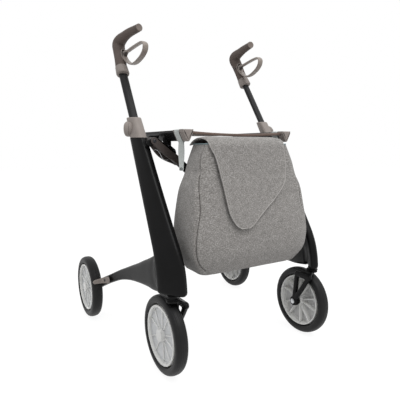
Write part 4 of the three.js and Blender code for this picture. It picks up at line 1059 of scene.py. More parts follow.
def place_pair(name: str, shell: Shell, finish: Finish, body: str, slot: str,
               stands_for: tuple[str, ...] = (), crease: float = 34.0) -> list[bpy.types.Object]:
    """Makes a piece for the left side and its mirror image for the right.

    Args:
        name: The piece's name without its side.
        shell: Its shape on the left side.
        finish: Its finish.
        body: The body's name without its side.
        slot: The record's slot.
        stands_for: Nodes' names without their side.
        crease: As for one piece.

    Returns:
        The left piece and the right one.
    """
    return [
        place(
            f"{name}_{side.word}", shell.on(side), finish, f"{body}_{side.word}", slot,
            tuple(f"{node}_{side.word}" for node in stands_for), crease,
        )
        for side in Side
    ]


def redress(names: list[str], finish: Finish) -> None:
    """Gives carried-over nodes a finish of this scene.

    Args:
        names: The nodes.
        finish: The finish.
    """
    for name in names:
        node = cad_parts[name]
        if not node.material_slots:
            node.data.materials.append(finish.material())
        for held in node.material_slots:
            held.material = finish.material()


def folds(piece: bpy.types.Object) -> None:
    """Gives a piece of cloth its own copy of its mesh.

    Args:
        piece: The piece.
    """
    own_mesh(piece)


def set_pose(thing: bpy.types.Object, right: Array, over: Array, back: Array, spot: Array) -> None:
    """Puts an object at a spot with its own axes along three directions.

    Args:
        thing: The camera or lamp.
        right: Where its x points.
        over: Where its y points.
        back: Where its z points, away from what it looks at.
        spot: Its place in metres.
    """
    rows = np.array([right, over, back, spot]).T.tolist()
    thing.matrix_world = Matrix((*rows, (0, 0, 0, 1)))


def bolt(start: Array, end: Array, shaft: float, head: float, height: float) -> Shell:
    """A pin with a domed head at its end that has a round recess, and a plain one at its start.

    Args:
        start: Where the shaft starts, under the first head.
        end: Where it ends, under the second.
        shaft: Its radius.
        head: Radius of the heads.
        height: Their height.

    Returns:
        The closed shell.
    """
    start, end = np.asarray(start, float), np.asarray(end, float)
    long = float(np.linalg.norm(end - start))
    profile = [
        (0.3, -height), (head * 0.8, -height), (head * 0.97, -height * 0.7), (head, -height * 0.3),
        (head, 0), (shaft, 0), (shaft, long), (head, long), (head, long + height * 0.35),
        (head * 0.96, long + height * 0.75), (head * 0.82, long + height), (head * 0.5, long + height),
        (head * 0.46, long + height * 0.9), (head * 0.44, long + height * 0.3), (0.3, long + height * 0.3),
    ]
    return turned(profile, start, end - start, 36)


# The rollator's assemblies


@dataclass
class SideFrame:
    """The satin black moulding of each side: front leg, rear leg, boss and lugs."""

    head: tuple[float, float] = (232.2, -266.3)
    foot_bottom: float = 212.0
    foot_rise: float = 3.0
    foot_rounding: float = 9.0
    lean: float = math.radians(32.9)
    bend_radius: float = 215.0
    collar_bottom: float = 590.0
    collar_top: float = 646.0
    inset: float = 7.0
    half_lengths: tuple[float, float] = (25.5, 38.5)
    half_widths: tuple[float, float] = (16.0, 14.0)
    turns: tuple[float, float] = (math.radians(18), math.radians(36))
    squareness: float = 3.1
    axle: tuple[float, float] = (225.4, 100.0)
    root: tuple[float, float, float, float] = (236.0, -240.0, 250.0, 46.0)
    end_x: float = 267.0
    rear_half_width: float = 15.0
    boss_faces: tuple[float, float] = (257.0, 277.7)
    along: tuple[float, ...] = (0, .055, .11, .17, .235, .31, .4, .48, .565, .7, .826, 1)
    heights: tuple[float, ...] = (1.08, 1.05, 1, .955, .905, .84, .763, .685, .593, .413, .24, 0)
    half_heights: tuple[float, ...] = (1.08, 1.08, .99, .85, .735, .61, .49, .405, .35, .31, .32, .36)
    xs: tuple[float, ...] = (0, .06, .14, .18, .22, .26, .35, .45, .57, .8, .93, 1)
    widths: tuple[float, ...] = (1, 1, .96, .92, .9, .87, .78, .72, .68, .63, .6, .58)
    cross_y: float = -105.0
    fillet_rounds: int = 320
    collar_half_length: float = 24.0
    collar_length_taper: float = 3.5
    collar_half_width: float = 16.0
    collar_width_taper: float = 1.4
    collar_squareness: float = 3.3
    collar_edge: float = 3.2
    knob_share: float = 0.42
    knob_turn: float = math.radians(36)
    knob_radius: float = 20.4
    knob_start: float = 17.0
    strip_root: float = 11.0
    strip_tip: float = 5.6
    strip_half_thickness: float = 1.8
    voxel: float = 1.9

    def centre(self, z: Array) -> tuple[Array, Array]:
        """Centre of the front leg: an arc that rises from the foot into a straight lean.

        Args:
            z: Heights.

        Returns:
            The x and y of the leg's centre.
        """
        rise = np.asarray(z, float) - self.foot_bottom
        bend = self.bend_radius * math.sin(self.lean)
        arc = self.bend_radius - np.sqrt(self.bend_radius**2 - np.minimum(rise, bend) ** 2)
        back = arc + np.maximum(rise - bend, 0) * math.tan(self.lean)
        share = rise / (self.collar_top - self.foot_bottom)
        return self.head[0] - self.inset * share**2, self.head[1] + back

    @staticmethod
    def level_rings(x: Array, y: Array, z: Array, half_length: Array, half_width: Array,
                    turn: Array, outline: Array) -> Array:
        """Level rings whose long axis is turned from straight ahead towards the middle.

        Args:
            x: Centre of each ring.
            y: Centre of each ring.
            z: Height of each ring.
            half_length: Half of its long axis.
            half_width: Half of its short one.
            turn: Its turn in radians.
            outline: The unit outline, along and across.

        Returns:
            The rings, shaped (rings, points, 3).
        """
        ahead, across = outline[:, 0] * half_length[:, None], outline[:, 1] * half_width[:, None]
        sine, cosine = np.sin(turn)[:, None], np.cos(turn)[:, None]
        return np.stack([
            x[:, None] - sine * ahead + cosine * across,
            y[:, None] - cosine * ahead - sine * across,
            np.broadcast_to(z[:, None], ahead.shape),
        ], axis=2)

    def front_leg(self) -> Shell:
        """The front leg, from its rounded foot to the collar."""
        low = self.foot_bottom + self.foot_rise
        z = np.concatenate([
            low + self.foot_rounding * (1 - np.cos(np.linspace(0.15, math.pi / 2, 8))),
            np.linspace(low + self.foot_rounding, self.collar_bottom - 0.3, 80)[1:],
        ])
        share = (self.collar_bottom - z) / (self.collar_bottom - self.foot_bottom)
        near = np.clip(1 - (z - low) / self.foot_rounding, 0, 1)
        shrink = self.foot_rounding * (1 - np.sqrt(1 - near**2))
        top, foot = self.half_lengths
        wide, thin = self.half_widths
        return skin(self.level_rings(
            *self.centre(z), z,
            top + (foot - top) * np.minimum(1.25 * share, 1) - shrink,
            wide + (thin - wide) * share - shrink,
            self.turns[0] + (self.turns[1] - self.turns[0]) * np.minimum(1.15 * share, 1),
            oblong(72, self.squareness),
        ))

    def rear_leg(self) -> Shell:
        """The rear leg, which sweeps back and down from the front one to the boss."""
        t = np.linspace(0, 1, 90)
        height, half, x, width = table(
            self.along, np.stack([self.heights, self.half_heights, self.xs, self.widths], axis=1), t,
        ).T
        root_x, root_y, root_height, root_half = self.root
        outline = oblong(56, 2.6)
        up = outline[:, 0] * (half * root_half)[:, None]
        across = outline[:, 1] * (width * self.rear_half_width)[:, None]
        return skin(np.stack([
            (root_x + (self.end_x - root_x) * x)[:, None] + across,
            np.broadcast_to((root_y + (self.axle[0] - root_y) * t)[:, None], up.shape),
            (self.axle[1] + (root_height - self.axle[1]) * height)[:, None] + up,
        ], axis=2))

    def lugs(self) -> list[Shell]:
        """The wheel's boss, the foot of the folding cross, the link's bracket and the rail's rest."""
        inner, outer = self.boss_faces
        boss = turned([
            (1, inner), (18, inner), (21.5, inner + 1.2), (23, inner + 4), (23, outer - 2), (22, outer),
            (1, outer),
        ], np.array([0, *self.axle]), ACROSS, 60)
        cheeks = [
            plate(bar((205, 241), (235, 241), 11, 12), self.cross_y + low, self.cross_y + high, 1.2, Plane.Y)
            for low, high in ((-14.2, -9.2), (9.2, 14.2))
        ]
        bracket_bar = bar((205.5, 581), (216, 576), 9, 9)
        bracket = plate(bracket_bar, self.cross_y - 10.2, self.cross_y + 10.2, 1, Plane.Y)
        rest = plate(rounded([
            (171.5, 597), (176, 584), (168.5, 576), (170, 566), (222, 566), (222, 589.5), (205, 589.5),
            (200, 597),
        ], 2.0), -79, -69, 1.2, Plane.Y)
        return [boss, *cheeks, bracket, rest]

    def build(self) -> None:
        """Fuses the parts of one side, fills the hollow where the legs meet, and places both sides."""
        whole = eased(fused([self.front_leg(), self.rear_leg(), *self.lugs()], self.voxel), 5)
        y, z = whole.points[:, 1], whole.points[:, 2]
        near = np.clip(1.7 - np.hypot(y + 175, (z - 280) * 0.8) / 90, 0, 1)
        whole = eased(filleted(whole, self.fillet_rounds, near), 6)
        relief = turned([(1, -94.8), (13.8, -94.8), (13.8, -86.4), (1, -86.4)],
                        np.array([205.5, 0, 581.0]), ALONG, 48)
        whole = carved(whole, relief)
        place_pair("side_frame", whole, SATIN_BLACK, "frame", "frame_shell", ("side_frame",), 40)

    def collar_rings(self, z: Array, shrink: Array) -> Array:
        """Rings of the collar at some heights, smaller by a shrink."""
        share = (z - self.collar_bottom) / (self.collar_top - self.collar_bottom)
        return self.level_rings(
            *self.centre(z), z,
            self.collar_half_length - self.collar_length_taper * share - shrink,
            self.collar_half_width - self.collar_width_taper * share - shrink,
            np.full(len(z), self.turns[0]), oblong(96, self.collar_squareness),
        )

    def build_collars(self) -> None:
        """The collar round the top of each leg, its liner round the tube, and the height knob."""
        a = np.linspace(0, math.pi / 2, 7)
        low, high, edge = self.collar_bottom, self.collar_top, self.collar_edge
        z = np.concatenate([low + 1.0 * (1 - np.cos(a)), [low + 20, low + 38], high - edge * (1 - np.sin(a))])
        shrink = np.concatenate([1.0 * (1 - np.sin(a)), [0, 0], edge * (1 - np.cos(a))])
        height = low + self.knob_share * (high - low)
        x, y = self.centre(height)
        out = np.array([math.cos(self.knob_turn), math.sin(self.knob_turn), 0])
        boss = turned([
            (1, 8), (10, 8), (13.5, 10), (16.8, 12), (19.4, 14.2), (20.2, 15.6), (20.0, 16.5), (1, 16.5),
        ], np.array([x, y, height]), out, 72)
        place_pair("leg_collar", together(skin(self.collar_rings(z, shrink)), boss), TAUPE, "frame",
                   "taupe_shell", ("leg_collar",))
        dome = np.linspace(0, math.pi / 2, 9)
        profile = [
            (0.5, -3.2), (4, -3.2), (4, 0), (19.0, 0), (20.0, 0.8),
            (self.knob_radius, 2.2), (self.knob_radius, 4.6),
            *np.stack([self.knob_radius - 8 * (1 - np.cos(dome)), 7.6 + 7.4 * np.sin(dome)], axis=1).tolist(),
            (9.5, 15.2), (8.9, 14.6), (0.5, 14.4),
        ]
        knob = turned(profile, np.array([x, y, height]) + self.knob_start * out, out, 72)
        place_pair("height_knob", knob, TAUPE, "knob", "taupe_shell", ("height_knob",))

    def build_brakes(self) -> None:
        """Each brake: a strip along the rear leg that bends across the tread, and its screw.

        Half the strip's height is its taper times the root of one less the squares of the
        shares by which a point lies in the round of either end.
        """
        path = spline([
            (276.4, 72.5, 161.5), (276.4, 92, 156), (276.5, 109.5, 150.6), (279.0, 119.8, 147.4),
            (286, 124.4, 145.6), (298, 125.1, 144.6), (311.5, 125.1, 143.8),
        ], 120)
        run = travelled(path)
        root, tip = self.strip_root, self.strip_tip
        half = np.interp(run, [0, root, 48, 60, run[-1]], [root, root, 9.6, 8.0, tip])
        back, ahead = np.clip(1 - run / root, 0, 1), np.clip(1 - (run[-1] - run) / tip, 0, 1)
        half = half * np.sqrt(np.maximum(1 - back**2 - ahead**2, 0.004))
        thick = np.full(len(half), self.strip_half_thickness)
        strip = carry(path, oblong(40, 5.0), UP, np.stack([half, thick], axis=1))
        place_pair("brake_shoe", strip, TAUPE, "shoe", "taupe_shell", ("brake_shoe",))
        place_pair("brake_shoe_screw", bolt((270, 109, 151), (278.5, 109, 151), 2.4, 4.2, 1.8),
                   DARK_STEEL, "frame", "dark_steel", ("brake_shoe_screw",))


@dataclass
class Wheels:
    """The four wheels and their axles."""

    radius: float = 100.0
    half_width: float = 16.5
    seat: float = 75.5
    rib_pairs: int = 5
    first_pair: float = math.radians(21)
    spread_hub: float = math.radians(26)
    spread_rim: float = math.radians(20)
    rib_hub: float = 13.0
    rib_end: float = 69.5
    rib_radii: tuple[float, float] = (1.0, 1.3)
    rib_faces: tuple[float, float] = (-10.5, 8.8)
    grooves: tuple[float, ...] = (-7.5, -2.5, 2.5, 7.5)
    places: dict = field(default_factory=lambda: {
        "front": (232.9, -225.4), "rear": (294.5, 225.4),
    })

    def tyre(self, x: float, y: float) -> Shell:
        """A rounded tread with four fine grooves, bulging walls and a bead at the rim.

        Args:
            x: Middle of the wheel.
            y: Its axle.

        Returns:
            The tyre.
        """
        wave = oblong(120, 2.35)
        deep, wide = (self.radius - self.seat) / 2, self.half_width
        radius = (self.radius + self.seat) / 2 + wave[:, 0] / wave[:, 0].max() * deep
        along = wave[:, 1] / wave[:, 1].max() * wide
        outer = np.clip((radius - 94) / 4, 0, 1)
        grooves = sum(np.exp(-((along - g) / 0.55) ** 2) for g in self.grooves)
        ring = np.exp(-((radius - 84.5) / 0.9) ** 2) * np.sign(along)
        radius = radius - 0.7 * outer * grooves
        along = along + 0.45 * ring
        return turned(np.stack([radius, along], axis=1), np.array([x, y, self.radius]), ACROSS, 176, True)

    def rim(self, x: float, y: float) -> Shell:
        """A rim with a lip on each side, a closed web, a hub, and ribs in pairs on both faces.

        Args:
            x: Middle of the wheel.
            y: Its axle.

        Returns:
            The rim, its ribs lying in its web.
        """
        centre = np.array([x, y, self.radius])
        outer, seat = 14.0, self.seat - 0.3
        ring = turned([
            (seat, -outer), (seat, outer), (seat - 0.5, outer + 0.7), (seat - 1.6, outer + 1),
            (71.4, outer + 1), (70.2, outer + 0.6), (69.6, outer - 0.4), (68.8, 7.6), (68.4, 4.6),
            (68.4, 3.4), (18, 3.4), (18, 4.6),
            (16.6, 5.8), (16.0, 8.2), (15.4, 14.2), (14.6, 15.1), (13.4, 15.4), (5.4, 15.4),
            (5.4, -16.0), (13.6, -16.0), (14.8, -15.4), (15.6, -13.6), (16.4, 0.2), (18, 2.0), (21, 2.7),
            (40, 2.8), (64, 2.8), (67.0, 2.2), (68.6, 0.4), (69.6, -9.6), (70.6, -11.4), (70.8, -13.2),
            (71.6, -14.6), (72.8, -15.0), (seat - 1.6, -outer - 1), (seat - 0.5, -outer - 0.7),
        ], centre, ACROSS, 160, True)
        ribs = []
        for k in range(self.rib_pairs * 2):
            pair = self.first_pair + (k // 2) / self.rib_pairs * TURN
            side = 1 if k % 2 else -1
            hub, reach = pair + side * self.spread_hub, pair + side * self.spread_rim
            start = np.array([math.sin(hub), math.cos(hub)]) * self.rib_hub
            end = np.array([math.sin(reach), math.cos(reach)]) * self.rib_end
            line = bar(start, end, *self.rib_radii, 4) + np.array([y, self.radius])
            ribs.append(plate(line, x + self.rib_faces[0], x + self.rib_faces[1], 0.7, Plane.X))
        return together(ring, *ribs)

    def web(self, x: float, y: float) -> Shell:
        """The thin outer face of a rim's web, between hub and rim, in a greyer copy of the rim's nylon:
        painted shade of the pockets between the ribs.
        """
        return turned([
            (16.4, 3.0), (69.0, 3.0), (69.2, 7.6), (68.0, 6.2), (65.5, 5.4), (40, 5.2), (20.5, 5.2),
            (17.6, 5.7), (16.4, 7.4),
        ], np.array([x, y, self.radius]), ACROSS, 120, True)

    def build(self) -> None:
        """Tyres, rims, hub covers and axles of all four wheels."""
        for end, (x, y) in self.places.items():
            wheel = f"{end}_wheel"
            place_pair(f"{end}_tyre", self.tyre(x, y), TYRE_BLACK, wheel, "tyre", (f"{end}_tyre",))
            place_pair(f"{end}_rim", self.rim(x, y), RIM_WHITE, wheel, "rim", (f"{end}_rim",), 30)
            # The web's greyer nylon is painted shade of the pockets between the ribs.
            place_pair(f"{end}_web", self.web(x, y), WEB_SHADE_GREY, wheel, "rim", (), 30)
            cover = turned([
                (0.4, 14.6), (14.2, 14.6), (15.6, 15.6), (15.7, 16.6), (15.2, 17.7), (13.8, 18.4),
                (9, 18.7), (0.4, 18.7),
            ], np.array([x, y, self.radius]), ACROSS, 72)
            place_pair(f"{end}_hub_cover", cover, RIM_WHITE, wheel, "rim")
            start = 197.7 if end == "front" else 259.0
            axle = turned([
                (0.3, -2.4), (6.0, -2.4), (7.3, -1.7), (7.5, -0.7), (7.5, 0), (5, 0), (5, x + 14.2 - start),
                (0.3, x + 14.2 - start),
            ], np.array([start, y, self.radius]), ACROSS, 40)
            body = "caster" if end == "front" else "frame"
            place_pair(f"{end}_axle", axle, BRIGHT_STEEL, body, "bright_steel", (f"{end}_axle",))


@dataclass
class Casters:
    """The single-sided fork of each front wheel, with its stem."""

    head: tuple[float, float] = (232.2, -266.3)
    faces: tuple[float, float] = (198.0, 210.0)
    hub: tuple[float, float] = (-225.4, 100.0)
    front_top: tuple[float, float] = (-283.0, 188.5)
    rear_top: tuple[float, float] = (-235.0, 188.5)
    crown: tuple[float, float] = (196.5, 204.5)
    voxel: float = 1.15

    def build(self) -> None:
        """Fuses stem, crown, V of bars and hub boss, and places both forks."""
        inner, outer = self.faces
        x, y = self.head
        low, high = self.crown
        arm = oblong(32, 3.0) * np.array([9.0, 4.4])
        parts = [
            turned([(1, low), (9, low), (9, 215.5), (8, 217), (1, 217)], np.array([x, y, 0]), UP, 40),
            plate(bar((x, y), (x - 4, y), 15.5, 15.5, 20), low + 1.0, high, 3.0, Plane.Z),
            *(carry(spline([(x + 4, y, 200.6), *bend], 50), arm, ALONG) for bend in (
                [(222, y - 2, 199.8), (211, y - 10, 195.5), (203, -281, 186.5)],
                [(222, y + 3, 199.8), (211, y + 12, 195.5), (203, -246, 186.5)],
            )),
            plate(bar(self.front_top, self.rear_top, 8.5, 8.0, 20), inner, outer, 4.2, Plane.X),
            plate(bar(self.front_top, self.hub, 6.8, 6.4, 20), inner, outer, 4.2, Plane.X),
            plate(bar(self.rear_top, self.hub, 6.8, 6.4, 20), inner, outer, 4.2, Plane.X),
            turned([
                (1, inner), (11.5, inner), (13.8, inner + 1.4), (14.5, inner + 4), (14.5, 213.5),
                (13, 216.6), (1, 216.6),
            ], np.array([0, *self.hub]), ACROSS, 60),
        ]
        whole = eased(fused(parts, self.voxel), 5)
        whole = eased(filleted(whole, 40, np.full(len(whole.points), 0.8)), 3)
        place_pair("fork", whole, SATIN_BLACK, "caster", "frame_shell", ("fork",), 40)
        washer = turned([
            (9.4, 205.0), (15.2, 205.0), (16.3, 205.7), (16.3, 207.0), (15.2, 207.8), (12.6, 208.2),
            (12.2, 208.8), (12.2, 214.4), (9.4, 214.4),
        ], np.array([x, y, 0]), UP, 60, True)
        place_pair("head_washer", washer, SATIN_BLACK, "frame", "frame_shell", ("head_washer",))


@dataclass
class Handles:
    """The sliding tube, the grip with its band and end cap, and the looped brake lever."""

    side_frame: SideFrame
    tube_lean: float = math.radians(33.8)
    tube_inset: float = math.radians(1.95)
    tube_turn: float = math.radians(-12)
    visible: float = 152.0
    band_height: float = 28.0
    stem_radius: float = 16.5
    radius_shares: tuple[float, ...] = (1.02, .99, 1.01, 1.08, 1.13, 1.03, .87, .78, .72, .67, .63)
    knots: tuple = ((0, 0, 0), (4.6, 27.3, 50.5), (8.1, 38.3, 75.5), (14.1, -9.1, 91), (26.3, -75.1, 97.6))
    pivot: tuple[float, float, float] = (9.8, 17.3, 38.5)
    toe: float = math.radians(5.6)
    tube_halves: tuple[float, float] = (12.2, 6.9)
    hollow: tuple[float, float] = (6.6, 15.5)
    band_shares: tuple[float, ...] = (0, .015, .05, .1, .15, .175, .19, .205, .22, .3, .6, .96, .99)
    band_radii: tuple[float, ...] = (
        15.6, 16.8, 17.8, 18.6, 18.9, 18.9, 18.5, 18.5, 18.8, 18.7, 18.2, 17.6, 17.2,
    )
    reach: float = 144.0
    loop_forward: tuple[float, ...] = (.1, .28, .55, .78, .92, .995, .985, .9, .75, .57, .42, .27, .15)
    loop_height: tuple[float, ...] = (
        .03, .05, .085, .105, .095, .03, -.06, -.145, -.215, -.26, -.255, -.19, -.1,
    )

    def direction(self) -> Array:
        """The way in which the tube runs up from the collar."""
        return unit(np.array([-math.tan(self.tube_inset), math.tan(self.tube_lean), 1.0]))

    def along_tube(self, distance: float) -> Array:
        """A point on the tube's centre line, from the top of the collar."""
        x, y = self.side_frame.centre(self.side_frame.collar_top)
        return np.array([x, y, self.side_frame.collar_top]) + self.direction() * distance

    def base(self) -> Array:
        """The top of the band, from which grip and lever are placed."""
        return self.along_tube(self.visible + self.band_height)

    def from_base(self, inset: float, back: float, rise: float) -> Array:
        """A point set in, back and up from the top of the band."""
        return self.base() + np.array([-inset, back, rise])

    def tube(self) -> Shell:
        """The oval tube, from inside the leg to inside the band."""
        wide = np.array([math.cos(self.tube_turn), -math.sin(self.tube_turn), 0])
        path = np.stack([self.along_tube(d) for d in (-100, -99, -30, 0, 60, 120, 168, 169)])
        outline = oblong(64, 2.6) * np.array(self.tube_halves)
        return carry(path, outline, wide)

    def grip(self) -> tuple[Shell, Array, Array]:
        """The grip, with a hollow in front for the lever.

        The hollow is an oval in the plane that the lever swings in: a point of the
        skin inside it moves back by the hollow's depth, with a short slope at its edge.

        Returns:
            The grip, its path, and its radius at each point of the path.
        """
        knots = np.stack([self.from_base(*k) for k in self.knots])
        path = spline(knots, 130)
        radius = self.stem_radius * table(
            np.linspace(0, 1, len(self.radius_shares)), np.array(self.radius_shares), np.linspace(0, 1, 130),
        )
        shell = carry(path, oblong(96, 2.0), ACROSS, radius)
        rest = shell.points - self.from_base(*self.pivot)
        forward = -(rest @ ALONG)
        oval = np.hypot((rest @ ACROSS) / self.hollow[0], (rest @ UP + 1.0) / self.hollow[1])
        deep = np.clip((1.12 - oval) / 0.16, 0, 1) * (forward > 0)
        shell.points = shell.points + ALONG * (deep * np.clip(forward - 4, 0, 12))[:, None]
        return shell, path, radius

    def bezel(self, path: Array, radius: Array) -> tuple[Shell, Shell]:
        """The light oval frame round the lever's opening, and the black cup in it, which paints the opening's
        shade.

        A point of the oval at height h and width w lies on the front of the grip:
        ahead of the grip's path at that height by the root of radius squared less w squared.

        Args:
            path: The grip's path.
            radius: Its radius.

        Returns:
            The frame and the cup.
        """
        middle = self.from_base(*self.pivot)

        def on_front(w: Array, h: Array, lift: float) -> Array:
            """Points on the front of the grip.

            Args:
                w: Distance of each point from the opening's middle, to the side.
                h: Its height above the middle.
                lift: How far it stands in front of the grip.

            Returns:
                The points.
            """
            z = middle[2] - 1.0 + h
            stem = slice(0, 62)
            y = np.interp(z, path[stem, 2], path[stem, 1])
            x = np.interp(z, path[stem, 2], path[stem, 0])
            r = np.interp(z, path[stem, 2], radius[stem]) * 1.12
            axis = np.stack([x, y, z], axis=-1)
            shift = (middle - axis) @ ACROSS + w
            front = np.sqrt(np.maximum(r**2 - shift**2, 1)) + lift
            return axis + shift[..., None] * ACROSS - front[..., None] * ALONG

        a = np.arange(96) / 96 * TURN
        line = on_front(7.9 * np.cos(a), 17.0 * np.sin(a), -0.2)
        ring = carry(line, oblong(14, 2.4) * np.array([1.5, 1.3]), -ALONG, closed=True)
        depth = np.array([-0.6, -3.0, -8.0, -10.5])
        size = np.array([1.0, 0.94, 0.88, 0.5])
        cup = np.stack([
            on_front(7.2 * s * np.cos(a), 16.2 * s * np.sin(a), d) for s, d in zip(size, depth)
        ])
        back = np.stack([
            on_front(7.4 * s * np.cos(a), 16.4 * s * np.sin(a), d - 0.6)
            for s, d in zip(size[::-1], depth[::-1])
        ])
        return ring, skin(np.concatenate([cup, back]), True)

    def band(self) -> Shell:
        """The band under the grip: a short flare, a fine groove, and a slight taper up to the grip."""
        start, top = self.along_tube(self.visible), self.base()
        knots = np.stack([self.from_base(*k) for k in self.knots])
        ahead = unit(np.gradient(spline(knots, 130), axis=0)[0])
        across = unit(ACROSS - ahead[0] * ahead)
        up = np.cross(ahead, across)
        shares, radii = np.array(self.band_shares), np.array(self.band_radii)
        centres = start + shares[:, None] * (top - start)
        circle = oblong(84, 2.05)
        grid = centres[:, None] + radii[:, None, None] * (
            circle[:, :1] * across + circle[:, 1:] * up
        )
        return skin(grid)

    def cap(self, path: Array, radius: Array) -> Shell:
        """The disc on the end of the grip, with a rounded edge and a shallow dish."""
        ahead = unit(path[-1] - path[-2])
        r = radius[-1]
        profile = [
            (0.5, 0.3), (r * 0.9, 0.3), (r * 1.0, 0.5), (r * 1.01, 1.2), (r * 0.985, 1.8), (r * 0.93, 2.2),
            (r * 0.84, 2.35), (r * 0.78, 2.2), (r * 0.7, 2.0), (0.5, 1.9),
        ]
        return turned(profile, path[-1], ahead, 72)

    def lever(self) -> tuple[Shell, Shell]:
        """The lever: a flat band bent to a loop, and the wedge that enters the grip.

        Returns:
            The loop and the wedge.
        """
        knots = np.stack([-np.array(self.loop_forward), np.array(self.loop_height)], axis=1) * self.reach
        line = spline(knots, 220, True)
        middle = self.from_base(*self.pivot)
        side = np.array([math.cos(self.toe), -math.sin(self.toe), 0])
        ahead = np.cross(UP, side)
        line = set_in(line, 2.0)
        path = middle + line[:, :1] * ahead + line[:, 1:] * UP
        lower = np.clip((-line[:, 1] - 2) / 14, 0, 1)
        tip = np.clip((-line[:, 0] - 108) / 26, 0, 1)
        wide = 6.2 + 2.2 * np.maximum(lower, tip)
        thick = 3.0 - 0.8 * np.maximum(lower, tip * 0.7)
        loop = carry(path, oblong(36, 3.4), side, np.stack([wide, thick], axis=1), True)
        wedge = rounded([
            (3.5, 6.5), (-20, 9.5), (-44, 8.4), (-45, 4.4), (-30, 0.6), (-19, -10), (-8, -12.5), (4.5, -5),
        ], [3, 6, 1.6, 1.6, 6, 4, 4, 3])
        root = plate(wedge, -5.6, 5.6, 2.2, Plane.X)
        local = root.points
        root.points = middle + local[:, :1] * side + local[:, 1:2] * ahead + local[:, 2:] * UP
        return loop, root.outward()

    def build(self) -> None:
        """Places the pieces of both handles."""
        place_pair("handle_tube", self.tube(), BLACK_TUBE, "handle", "black_metal", ("handle_tube",))
        grip, path, radius = self.grip()
        place_pair("grip", grip, GRIP_BROWN, "handle", "grip", ("grip",))
        ring, cup = self.bezel(path, radius)
        place_pair("grip_bezel", ring, TAUPE, "handle", "taupe_shell")
        # The black cup paints the shade inside the lever's opening.
        place_pair("grip_shade_cup", cup, OPENING_SHADE_BLACK, "handle", "frame_shell")
        place_pair("grip_band", self.band(), TAUPE, "handle", "taupe_shell", ("grip_band",))
        place_pair("grip_cap", self.cap(path, radius), CAP_BROWN, "handle", "taupe_shell", ("grip_cap",))
        loop, root = self.lever()
        place_pair("brake_lever", loop, LEVER_TAUPE, "lever", "taupe_shell", ("brake_lever",))
        # The root takes the darker copy of the lever's paint: painted shade inside the grip.
        place_pair("lever_root", root, ROOT_SHADE_TAUPE, "lever", "taupe_shell")
        redress([f"brake_lever_pin_{side.word}" for side in Side], DARK_STEEL)


